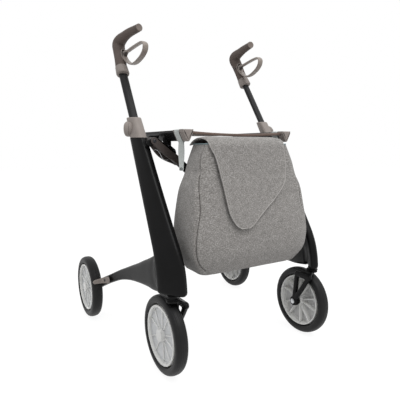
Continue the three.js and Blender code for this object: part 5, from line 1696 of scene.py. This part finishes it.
@dataclass
class Cross:
    """The folding cross, the two links that lock it, and their release arms."""

    y: float = -105.0
    foot: tuple[float, float] = (205.0, 241.0)
    centre_z: float = 415.0
    rail_x: float = 160.0
    pivot: tuple[float, float] = (205.5, 581.0)
    end_x: float = 128.7
    cheek: float = 4.5
    offset: float = 10.6
    link_length: float = 95.5
    strut_radius: float = 11.0
    strut_thickness: float = 8.0

    def strut_top(self) -> float:
        """Height of the pin that joins a strut to its rail."""
        return self.centre_z + (self.centre_z - self.foot[1]) * self.rail_x / self.foot[0]

    def on_link(self, along: Array, across: Array) -> Array:
        """A point by its share along the link and its distance below the link's line.

        Args:
            along: Shares from the pivot to the end.
            across: Distances below, in millimetres.

        Returns:
            The x and z of the points.
        """
        start = np.array(self.pivot)
        end = np.array([
            self.end_x, self.centre_z + self.end_x / self.foot[0] * (self.centre_z - self.foot[1]),
        ])
        way = end - start
        ahead = unit(way)
        below = np.array([-ahead[1], ahead[0]])
        return start + np.asarray(along)[..., None] * way + np.asarray(across)[..., None] * below

    def cheek_outline(self, bow: float, top: float, end: float) -> Array:
        """A cheek: two round ends, a nearly straight upper edge and a lower edge that bows down."""
        a = np.linspace(-1, 1, 16) * math.pi / 2
        long = self.link_length
        first = self.on_link(-top * np.cos(a) / long, top * np.sin(a))
        t = np.linspace(0.08, 0.92, 24)
        lower = self.on_link(t, top + (end - top) * t + bow * np.sin(t * math.pi) ** 1.3)
        last = self.on_link(1 + end * np.cos(a[::-1]) / long, end * np.sin(a[::-1]))
        upper = self.on_link(t[::-1], -(top + (end - top) * t[::-1]) + 0.8 * np.sin(t * math.pi))
        return np.concatenate([first, lower, last, upper])

    def pin(self, at: tuple[float, float], reach: float, shaft: float, head: float, height: float) -> Shell:
        """A bolt along y through the cross.

        Args:
            at: Its x and z.
            reach: Half the length of its shaft.
            shaft: Radius of the shaft.
            head: Radius of the heads.
            height: Their height.

        Returns:
            The bolt.
        """
        x, z = at
        return bolt((x, self.y + reach, z), (x, self.y - reach, z), shaft, head, height)

    def build(self) -> None:
        """Places struts, bolts, cheeks, springs and arms."""
        top = self.strut_top()
        for name, side, low in (("front", 1, -8.5), ("rear", -1, 0.5)):
            radius = self.strut_radius
            outline = bar((side * self.foot[0], self.foot[1]), (-side * self.rail_x, top), radius, radius, 20)
            strut = plate(outline, self.y + low, self.y + low + self.strut_thickness, 1.6, Plane.Y)
            place(f"cross_strut_{name}", strut, BLACK_RAIL, f"strut_{name}", "black_metal",
                  (f"cross_strut_{name}",))
        place("cross_pivot_bolt", self.pin((0.0, self.centre_z), 8.8, 4, 7.5, 3),
              BRIGHT_STEEL, "strut_rear", "bright_steel", ("cross_pivot_bolt",))
        place_pair("strut_foot_bolt", self.pin(self.foot, 14.5, 4, 7.5, 3),
                   BRIGHT_STEEL, "frame", "bright_steel", ("strut_foot_bolt",))
        place_pair("link_bolt", self.pin(self.pivot, 15.4, 3.4, 4.6, 2.2),
                   DARK_STEEL, "frame", "bright_steel", ("link_bolt",))
        near, far = self.y - self.offset - self.cheek, self.y - self.offset
        front = plate(self.cheek_outline(3.0, 9.5, 9.5), near, far, 1.3, Plane.Y)
        rear = plate(self.cheek_outline(9.5, 10.5, 9.5), self.y + self.offset,
                     self.y + self.offset + self.cheek, 1.3, Plane.Y)
        spacer_x, spacer_z = self.on_link(np.array(0.25), np.array(0.0))
        start, end = far - 1, self.y + self.offset + 1
        spacer = turned([(1, start), (4.5, start), (4.5, end), (1, end)],
                        np.array([spacer_x, 0, spacer_z]), ALONG, 28)
        place_pair("folding_link", together(front, rear, spacer), LINK_BROWN, "link", "link_metal",
                   ("folding_link",))
        upper = self.on_link(np.array([.06, .2, .31, .37, .52, .66, .735]),
                             -np.array([11.0, 12.0, 13.0, 18.4, 18.6, 18.2, 12.4]))
        lower = self.on_link(np.array([.735, .4, .06]), -np.array([10.3, 10.3, 10.3]))
        outline = rounded(np.concatenate([upper, lower]), [2, 4, 3, 3, 3, 3, 1, 1, 1, 1])
        arm = plate(outline, near, far, 1.1, Plane.Y)
        place_pair("latch_arm", arm, SATIN_BLACK, "link", "frame_shell", ("latch_arm",))
        heads = []
        for share, rise in ((0.42, 14.4), (0.63, 14.4)):
            head_x, head_z = self.on_link(np.array(share), np.array(-rise))
            heads.append(bolt((head_x, far - 0.4, head_z), (head_x, near - 0.1, head_z), 1.2, 2.5, 1.3))
        place_pair("latch_bolts", together(*heads), DARK_STEEL, "link", "dark_steel")
        wire = self.on_link(
            np.array([.16, .2, .26, .36, .47, .57, .64, .68]),
            np.array([20, 13.5, 11.8, 14, 19, 21, 17.4, 13]),
        )
        knots = np.stack([wire[:, 0], np.full(len(wire), self.y - 4.0), wire[:, 1]], axis=1)
        spring = carry(spline(knots, 60), oblong(12, 2.0) * 0.95, ALONG)
        place_pair("link_spring", spring, BRIGHT_STEEL, "link", "bright_steel")


@dataclass
class Seat:
    """The two rails with rings and end caps, the webbing loops, and the sling between them."""

    rail_x: float = 160.0
    top: float = 608.0
    bottom: float = 582.0
    half_width: float = 13.5
    front: float = -197.0
    rear: float = 30.0
    cap_length: float = 23.0
    strap_y: float = -182.0
    strap_width: float = 23.0
    strap_length: float = 80.0
    strap_turn: float = math.radians(50)
    sling_front: float = -206.5
    sling_rear: float = 19.0
    fold_height: float = 0.6
    fold_keep: float = 0.23

    def section(self, grow: float, soft: float = 5.5) -> Array:
        """The rail's rounded triangle, larger by a growth.

        Args:
            grow: How far each side moves out.
            soft: Reach of its rounded corners.

        Returns:
            The outline in x and z.
        """
        x, half = self.rail_x, self.half_width + grow
        top, low = self.top + grow, self.bottom - grow - 1.5
        return rounded([
            (x - half, top), (x - half, top - 6.5), (x - 3.2, low), (x + 3.2, low), (x + half, top - 6.5),
            (x + half, top),
        ], [soft, soft, 3.6, 3.6, soft, soft], 8)

    def build_rails(self) -> None:
        """Rails with their lugs and pins, the ring behind each strap, and the end caps."""
        cross = Cross()
        top = cross.strut_top()
        for side in Side:
            sign = side.value
            rail = plate(self.section(0.0), self.front, self.rear, 0.8, Plane.Y).on(side)
            x = sign * self.rail_x
            faces = (-113.5, -105.5) if sign > 0 else (-104.5, -96.5)
            lug = plate(bar((x, top), (x, self.bottom + 8), 11, 11, 18), *faces, 1.2, Plane.Y)
            pin = turned([(1, 0), (4, 0), (4, 10.5), (1, 10.5)], np.array([x, -105.0 - sign * 2, top]),
                         ALONG * sign, 28)
            place(f"seat_rail_{side.word}", together(rail, lug, pin), BLACK_RAIL, f"rail_{side.word}",
                  "black_metal", (f"seat_rail_{side.word}",))
        ring = plate(self.section(1.3), -171.2, -166.2, 1.0, Plane.Y)
        place_pair("rail_ring", ring, TAUPE, "rail", "taupe_shell")
        start = self.front - 0.3
        outline, middle = self.section(1.2, 6.5), np.array([self.rail_x, self.top - 8.5])
        a = np.linspace(math.pi / 2, 0, 7)
        y = np.concatenate([start - self.cap_length + 3.2 * (1 - np.sin(a)), [start - 0.6, start]])
        size = np.concatenate([1 - 0.2 * (1 - np.cos(a)), [1.0, 0.97]])
        rings = middle + (outline - middle) * size[:, None, None]
        cap = skin(np.stack(np.broadcast_arrays(rings[..., 0], y[:, None], rings[..., 1]), axis=2))
        place_pair("rail_end_cap", cap, TAUPE, "rail", "taupe_shell", ("rail_end_cap",))

    def build_straps(self) -> None:
        """Each strap: a ribbon that comes up from its rivet, goes round the rail and back down.

        Its width grows from the rivet to the rail, and its flat turns with the way down.
        """
        x, y = self.rail_x, self.strap_y
        loop = self.section(1.1, 6.0)
        start = int(np.argmin(loop[:, 1] + (loop[:, 0] - x) * 0.3))
        loop = np.roll(loop, -start, axis=0)
        low = self.bottom - self.strap_length
        if loop[5, 0] > x:
            loop = loop[::-1]
        round_it = evenly(loop, 90)[4:-4]
        down = np.linspace(self.bottom - 6, low + 4, 40)
        turn = -self.strap_turn * np.clip((self.bottom - down) / 60, 0, 1) ** 0.8
        aside = 1.1
        first = np.stack([x - aside * np.cos(turn), y - aside * np.sin(turn), down], axis=1)
        second = np.stack([x + aside * np.cos(turn), y + aside * np.sin(turn), down], axis=1)
        middle = np.stack([round_it[:, 0], np.full(len(round_it), y), round_it[:, 1]], axis=1)
        path = np.concatenate([first[::-1], middle, second])
        wide = np.stack([-np.sin(turn), np.cos(turn), np.zeros(len(turn))], axis=1)
        level = np.concatenate([wide[::-1], np.tile(ALONG, (len(middle), 1)), wide])
        heights = [low, low + 6, low + 20, self.bottom - 26, self.bottom]
        taper = np.interp(down, heights, [2.5, 5.0, 5.4, 8.4, 9.6])
        half = np.concatenate([taper[::-1], np.full(len(middle), self.strap_width / 2), taper])
        keep = np.linspace(0, 1, 150)
        values = np.concatenate([path, level, half[:, None]], axis=1)
        values = np.stack([np.interp(keep, np.linspace(0, 1, len(values)), v) for v in values.T], axis=1)
        sheet = values[:, None, :3] + np.linspace(-1, 1, 9)[None, :, None] * (
            unit(values[:, 3:6]) * values[:, 6:])[:, None]
        straps = place_pair("bag_strap", slab(sheet, 1.5), PALE_WEBBING, "rail", "strap", ("bag_strap",), 60)
        rivet_way = np.array([math.cos(-self.strap_turn), math.sin(-self.strap_turn), 0])
        centre = np.array([x, y, low + 8])
        rivet = turned([
            (1.7, -2.4), (3.3, -2.4), (3.6, -2.0), (3.3, -1.7), (1.9, -1.7), (1.9, 1.7), (3.3, 1.7),
            (3.6, 2.0), (3.3, 2.4), (1.7, 2.4),
        ], centre, rivet_way, 30, True)
        place_pair("strap_rivet", rivet, DARK_STEEL, "rail", "dark_steel")

    def build_sling(self) -> None:
        """The sling: cloth that sags a little between the rails, with a rolled hem in front."""
        half = self.rail_x - self.half_width - 0.4
        across = np.linspace(-1, 1, 97)
        y = np.linspace(self.sling_front, self.sling_rear, 80)
        sag = 5.2 * (1 - across**2)
        roll = 1.8 * np.exp(-((y - self.sling_front) / 5.0) ** 2)
        grid = np.stack(np.broadcast_arrays(
            (across * half)[None, :], y[:, None], (self.top - 3.4 - sag)[None, :] - roll[:, None],
        ), axis=2)
        sling = place("seat_sling", slab(grid, 2.4), SLING_CLOTH, "rail_right", "seat_cloth",
                      ("seat_sling",), 60)
        folds(sling)
        hem_y = np.full(len(across), self.sling_front)
        hem_path = np.stack([across * half, hem_y, self.top - 6.0 - sag], axis=1)
        hem = carry(hem_path, oblong(24, 2.6) * np.array([2.2, 3.6]), ALONG)
        hem_piece = place("sling_hem", hem, SLING_HEM, "rail_right", "seat_cloth")
        folds(hem_piece)


@dataclass
class Bag:
    """The felt bag under the seat's front: open body, seams, flap with a pale strip along its edge that
    paints its highlight, and piping.
    """

    bottom: float = 252.0
    top: float = 572.0
    front: float = -300.0
    back: float = -166.0
    half_width: float = 172.0
    roundness: float = 9.0
    wall: float = 2.6
    widths: tuple[float, ...] = (.9, 1.035, 1.07, 1.065, 1.05, 1.025, .985, .895, .83, .745)
    fronts: tuple[float, ...] = (.63, .91, .985, .95, .87, .75, .64, .53, .46, .4)
    backs: tuple[float, ...] = (.8, .95, 1, 1, 1, .97, .93, .9, .9, .9)
    flap_top: float = 592.0
    flap_tip: float = 366.0
    flap_half: float = 130.0
    flap_back: float = -174.0
    flap_thickness: float = 3.6
    over_depth: float = 90.0
    over_back: tuple[float, ...] = (0, .12, .4, .7, .9)
    over_heights: tuple[float, ...] = (.93, .965, 1, .995, .965)
    over_lefts: tuple[float, ...] = (-1.0, -.99, -.98, -.97, -.965)
    over_rights: tuple[float, ...] = (.82, .85, .87, .87, .86)
    hang_heights: tuple[float, ...] = (.907, .788, .61, .473, .283, .19, .106, .038, .0)
    hang_lefts: tuple[float, ...] = (-.955, -.865, -.80, -.755, -.70, -.675, -.62, -.535, -.43)
    hang_rights: tuple[float, ...] = (.83, .84, .815, .745, .42, .2, .01, -.13, -.24)
    count: int = 470
    column_width: float = 2.05
    seam_row: int = 55
    seam_place: float = 0.955
    seam_drift: float = 20.0
    fold_height: float = 0.45
    fold_keep: float = 0.2

    @property
    def middle(self) -> float:
        """The y halfway between front and back."""
        return (self.front + self.back) / 2

    def measures(self, share: Array) -> tuple[Array, Array, Array]:
        """Half width and depths in front and behind at shares of the height."""
        columns = np.stack([self.widths, self.fronts, self.backs], axis=1)
        width, front, back = table(np.linspace(0, 1, len(self.widths)), columns, share).T
        return width * self.half_width, front * (self.middle - self.front), back * (self.back - self.middle)

    def front_at(self, x: Array, z: Array) -> Array:
        """Where the bag's front lies: the rounded oblong's depth at a distance from the middle."""
        share = np.clip((z - self.bottom) / (self.top - self.bottom), 0, 1)
        width, front, _ = self.measures(share.ravel())
        across = np.minimum(np.abs(x.ravel()) / width, 0.93)
        y = self.middle - front * (1 - across**self.roundness) ** (1 / self.roundness)
        return y.reshape(np.shape(x))

    def wall_rings(self, share: Array, angle: Array, inset: Array) -> Array:
        """Level rings of the bag at shares of its height.

        At an angle a the ring's radius is (|cos a / width|^e + |sin a / depth|^e)^(-1/e).

        Args:
            share: Shares of the height.
            angle: Angles round the bag, from +X towards +Y.
            inset: How far each ring lies inside the bag's outer face.

        Returns:
            The rings, shaped (shares, angles, 3).
        """
        width, front, back = self.measures(np.clip(share, 0, 1))
        width, front, back = width - inset, front - inset, back - inset
        depth = np.where(np.sin(angle) < 0, front[:, None], back[:, None])
        e = self.roundness
        radius = (
            np.abs(np.cos(angle) / width[:, None]) ** e + np.abs(np.sin(angle) / depth) ** e
        ) ** (-1 / e)
        z = self.bottom + share * (self.top - self.bottom)
        return np.stack(np.broadcast_arrays(
            radius * np.cos(angle), self.middle + radius * np.sin(angle), z[:, None],
        ), axis=2)

    def body(self) -> tuple[Shell, Shell]:
        """The bag's body: sole, outer wall, rim, inner wall and floor, as one skin.

        The outer wall moves out by a sum of slow waves, and in along its two front seams,
        which drift from the corners to the sides on their way up.

        Returns:
            The closed shell, with flat places round and up, and the thread of both front seams.
        """
        even = np.linspace(0, TURN, 3000)
        ring = self.wall_rings(np.array([0.4]), even, np.zeros(1))[0]
        along = travelled(ring)
        count = self.count
        start = along[-1] / 4
        at = (np.linspace(0, along[-1], count, endpoint=False) + start) % along[-1]
        angle = np.interp(at, along, even)
        s = np.linspace(0, 1, 138)
        walls = self.wall_rings(s, angle, np.zeros(len(s)))
        x, y, z = walls[..., 0], walls[..., 1], walls[..., 2]
        push = (
            1.5 * np.sin(x / 47 + z / 61) * np.sin(z / 53 + 1.0)
            + 1.1 * np.sin(x / 23 - z / 37 + 2.0) * np.sin(z / 29)
            + 0.7 * np.sin(x / 13 + z / 71 + y / 15) * np.cos(z / 17 + 0.5)
        )
        push = push * (0.35 + 0.65 * np.sin(np.pi * s)[:, None] ** 0.7)
        corner = self.seam_place * self.measures(s)[0][self.seam_row]
        beside, behind = x[self.seam_row], 1e3 * (y[self.seam_row] > self.middle)
        drift = self.seam_drift * np.clip((s - 0.45) / 0.45, 0, 1) ** 1.3
        seams = []
        for sign in (1, -1):
            first = np.argmin(np.abs(beside - sign * corner) + behind)
            seams.append(first + sign * drift)
            near = np.abs(np.arange(count) - seams[-1][:, None]) * self.column_width
            push = push - 3.0 * np.exp(-(near / 2.6) ** 2) + 1.3 * np.exp(-((near - 7) / 4.0) ** 2)
        puckers = np.exp(-((z - 505) / 9) ** 2) * np.exp(-((x + 146) / 20) ** 2) * (y < self.middle + 10)
        push = push - 2.6 * puckers
        out = unit(np.stack([np.cos(angle), np.sin(angle) * 1.6, np.zeros(count)], axis=1))
        walls = walls + out[None] * push[..., None]
        row = np.arange(len(s))
        threads = []
        for column in seams:
            low = column.astype(int)
            part = (column - low)[:, None]
            line = walls[row, low] * (1 - part) + walls[row, low + 1] * part
            threads.append(carry(line[5:-8], oblong(10, 2.0) * 0.9, ACROSS))
        sole_shares = np.array([0.02, 0.3, 0.6, 0.8, 0.9, 0.955, 0.985])
        sole_drop = np.array([4.6, 4.4, 4.2, 4.0, 3.4, 2.4, 1.1])
        centre = np.array([0, self.middle, 0])
        base = walls[0] - centre
        sole = centre + base[None] * np.stack(
            [sole_shares, sole_shares, np.ones(len(sole_shares))], axis=1)[:, None]
        sole[..., 2] -= sole_drop[:, None]
        inner = self.wall_rings(s[::-3], angle, np.full(len(s[::-3]), self.wall))
        floor = centre + (inner[-1] - centre)[None] * np.array([[0.7, 0.7, 1], [0.02, 0.02, 1]])[:, None]
        floor[..., 2] += 2.0
        rim = (walls[-1] + inner[0]) / 2 + UP * 1.0
        inner[..., 2] = np.maximum(inner[..., 2], self.bottom + 2)
        grid = np.concatenate([sole, walls, rim[None], inner, floor])
        up = np.cumsum(np.linalg.norm(np.diff(grid, axis=0, prepend=grid[:1]), axis=2).mean(axis=1))
        around = np.linspace(0, along[-1], count + 1)
        cloth = np.stack(np.broadcast_arrays(around[None, :], up[:, None]), axis=2)
        return skin(grid, cloth=cloth), together(*threads)

    def binding(self, sheet: Array) -> Shell:
        """The narrow pale strip along the front edge of the flap's outline: a painted highlight where the
        edge catches the light.

        Args:
            sheet: The middle of the flap's sheet.

        Returns:
            The painted highlight strip, from the left of the mouth round the tip to the right.
        """
        line = np.concatenate([sheet[12:, 0], sheet[-1, 1:-1], sheet[:11:-1, -1]])
        line = evenly(line, 260) - ALONG * 0.42 * self.flap_thickness
        return carry(line, oblong(10, 2.0), ALONG)

    def flap(self) -> tuple[Shell, Array]:
        """The flap: from the back of the mouth over the top, and down the front to its tip.

        Returns:
            The flap, and the middle of its sheet.
        """
        hang_back = np.ones(len(self.hang_heights))
        rows = np.concatenate([
            np.stack([self.over_back, self.over_heights, self.over_lefts, self.over_rights], axis=1),
            np.stack([hang_back, self.hang_heights, self.hang_lefts, self.hang_rights], axis=1),
        ])
        size = [self.over_depth, self.flap_top - self.flap_tip, self.flap_half, self.flap_half]
        fine = spline(rows * np.array(size), 170)
        y_share = np.clip(fine[:, 0] / self.over_depth, 0, 1)
        z = self.flap_tip + fine[:, 1]
        t = np.linspace(0, 1, 110)
        x = fine[:, 2, None] + (fine[:, 3] - fine[:, 2])[:, None] * t
        height = np.broadcast_to(z[:, None], x.shape)
        front = self.front_at(x, np.minimum(height, self.top)) - 5.0
        y = self.flap_back + y_share[:, None] * (front - self.flap_back)
        wave = 1.1 * np.sin(x / 31 + height / 43) + 0.8 * np.sin(x / 17 - height / 27 + 1.0)
        lift = 1.6 * np.exp(-(t / 0.05) ** 2) + 1.6 * np.exp(-((1 - t) / 0.05) ** 2)
        down = np.clip((self.top - height) / 60, 0, 1)
        y = y - down * (0.9 + wave * 0.7 + lift[None, :])
        beyond = np.clip((-x - 95) / 45, 0, 1) ** 2 + np.clip((x - 85) / 45, 0, 1) ** 2
        droop = 6.0 * (1 - down) * beyond
        sheet = np.stack([x, y, height - droop - 2.0], axis=2)
        return slab(sheet, self.flap_thickness), sheet

    def piping(self) -> Shell:
        """The cord sewn round the bag's mouth."""
        angle = np.linspace(0, TURN, 240, endpoint=False)
        ring = self.wall_rings(np.array([1.0]), angle, np.full(1, 0.4))[0]
        ring[:, 2] += 1.2
        return carry(ring, oblong(12, 2.0) * 1.5, UP, closed=True)

    def build(self) -> None:
        """Places body, seams, flap, the pale edge strip that paints the flap's highlight, and piping, and
        works out the flap's flat size and area.
        """
        walls, thread = self.body()
        body = place("bag_body", walls, GREY_FELT, "rail_right", "bag_felt", ("bag_body",), 70)
        seams = place("bag_seams", thread, SEAM_THREAD, "rail_right", "bag_felt")
        shell, sheet = self.flap()
        flap = place("bag_flap", shell, GREY_FELT, "rail_right", "bag_felt", ("bag_flap",), 70)
        piping = place("bag_piping", self.piping(), BLUE_PIPING, "rail_right", "bag_felt")
        # A pale strip along the flap's edge: painted highlight of the lit edge.
        binding = place("bag_binding", self.binding(sheet), EDGE_HIGHLIGHT_TAPE, "rail_right", "bag_felt")
        for piece in (body, seams, flap, binding, piping):
            folds(piece)
        rows = spacing(sheet, 1).sum(axis=1)
        columns = spacing(sheet).sum(axis=0)
        steps = spacing(sheet).mean(axis=1)
        area = float((steps * (rows[1:] + rows[:-1]) / 2).sum())
        flat = (float(rows.max()) * MM, float(columns.max()) * MM)
        area = min(area * MM**2, flat[0] * flat[1])


@dataclass
class Studio:
    """Camera, floor and light."""

    place: tuple[float, float, float] = (-0.655, -1.1044, 0.569)
    right: tuple[float, float, float] = (0.8588, -0.5123, 0.0)
    upward: tuple[float, float, float] = (0.0677, 0.1134, 0.9913)
    ahead: tuple[float, float, float] = (0.5078, 0.8513, -0.1321)
    lens: float = 36.74
    floor_half: float = 9.0
    floor_glow: float = 0.72
    lamp_spot: tuple[float, float, float] = (0.25, -1.75, 2.9)
    lamp_aim: tuple[float, float, float] = (0.0, 0.0, 0.4)
    lamp_width: float = 1.6
    lamp_power: float = 36.0

    def camera(self) -> None:
        """The camera where the photograph's stood."""
        data = bpy.data.cameras.new("camera")
        data.lens, data.sensor_width = self.lens, 36.0
        camera = bpy.data.objects.new("camera", data)
        bpy.context.scene.collection.objects.link(camera)
        set_pose(camera, self.right, self.upward, -np.array(self.ahead), self.place)
        bpy.context.scene.camera = camera

    def floor(self) -> None:
        """A pale floor that keeps a soft shadow."""
        mesh = bpy.data.meshes.new("floor")
        half = self.floor_half
        corners = [(-half, -half, 0), (half, -half, 0), (half, half, 0), (-half, half, 0)]
        mesh.from_pydata(corners, [], [(0, 1, 2, 3)])
        material = bpy.data.materials.new("matt white floor")
        material.use_nodes = True
        tree = material.node_tree
        shader = tree.nodes["Principled BSDF"]
        shader.inputs["Base Color"].default_value = linear("cfcfcf")
        shader.inputs["Roughness"].default_value = 0.9
        shader.inputs["Specular IOR Level"].default_value = 0.0
        share = add_node(tree, "ShaderNodeMath", {
            0: seen_directly(tree), 1: self.floor_glow,
        }, operation="MULTIPLY")
        glow = add_node(tree, "ShaderNodeEmission", {"Color": (1, 1, 1, 1), "Strength": 1.24})
        mixed = add_node(tree, "ShaderNodeMixShader", {
            0: share.outputs[0], 1: shader.outputs["BSDF"], 2: glow.outputs["Emission"],
        })
        tree.links.new(mixed.outputs["Shader"], tree.nodes["Material Output"].inputs["Surface"])
        mesh.materials.append(material)
        thing = bpy.data.objects.new("floor", mesh)
        bpy.context.scene.collection.objects.link(thing)

    def light(self) -> None:
        """A soft sky, brighter above, and one large soft lamp above in front."""
        world = bpy.data.worlds.new("studio")
        world.use_nodes = True
        bpy.context.scene.world = world
        tree = world.node_tree
        tree.nodes.clear()
        way = add_node(tree, "ShaderNodeTexCoord").outputs["Generated"]
        height = add_node(tree, "ShaderNodeSeparateXYZ", {"Vector": way}).outputs["Z"]
        level = add_node(tree, "ShaderNodeMapRange", {
            "Value": height, "From Min": -0.1, "From Max": 1.0, "To Min": 0.4, "To Max": 1.2,
        })
        sky = add_node(tree, "ShaderNodeBackground", {
            "Color": (1, 1, 1, 1), "Strength": level.outputs["Result"],
        })
        white = add_node(tree, "ShaderNodeBackground", {"Color": (1, 1, 1, 1), "Strength": 1.0})
        mixed = add_node(tree, "ShaderNodeMixShader", {
            0: seen_directly(tree), 1: sky.outputs["Background"], 2: white.outputs["Background"],
        })
        out = add_node(tree, "ShaderNodeOutputWorld")
        tree.links.new(mixed.outputs["Shader"], out.inputs["Surface"])
        lamp = bpy.data.lights.new("key", "AREA")
        lamp.shape, lamp.size, lamp.energy = "DISK", self.lamp_width, self.lamp_power
        thing = bpy.data.objects.new("key", lamp)
        bpy.context.scene.collection.objects.link(thing)
        spot = np.array(self.lamp_spot)
        back = -unit(np.array(self.lamp_aim) - spot)
        side = unit(np.cross(UP, back))
        set_pose(thing, side, np.cross(back, side), back, spot)

    def build(self) -> None:
        """Sets the studio up."""
        bpy.context.scene.view_settings.view_transform = "Standard"
        self.camera()
        self.floor()
        self.light()


def main() -> None:
    """Builds the studio and every assembly, in order."""
    logging.basicConfig(level=logging.INFO, format="%(message)s")
    Studio().build()
    side_frame = SideFrame()
    side_frame.build()
    side_frame.build_collars()
    side_frame.build_brakes()
    Wheels().build()
    Casters().build()
    Handles(side_frame).build()
    Cross().build()
    seat = Seat()
    seat.build_rails()
    seat.build_straps()
    seat.build_sling()
    Bag().build()


if __name__ == "__main__":
    main()
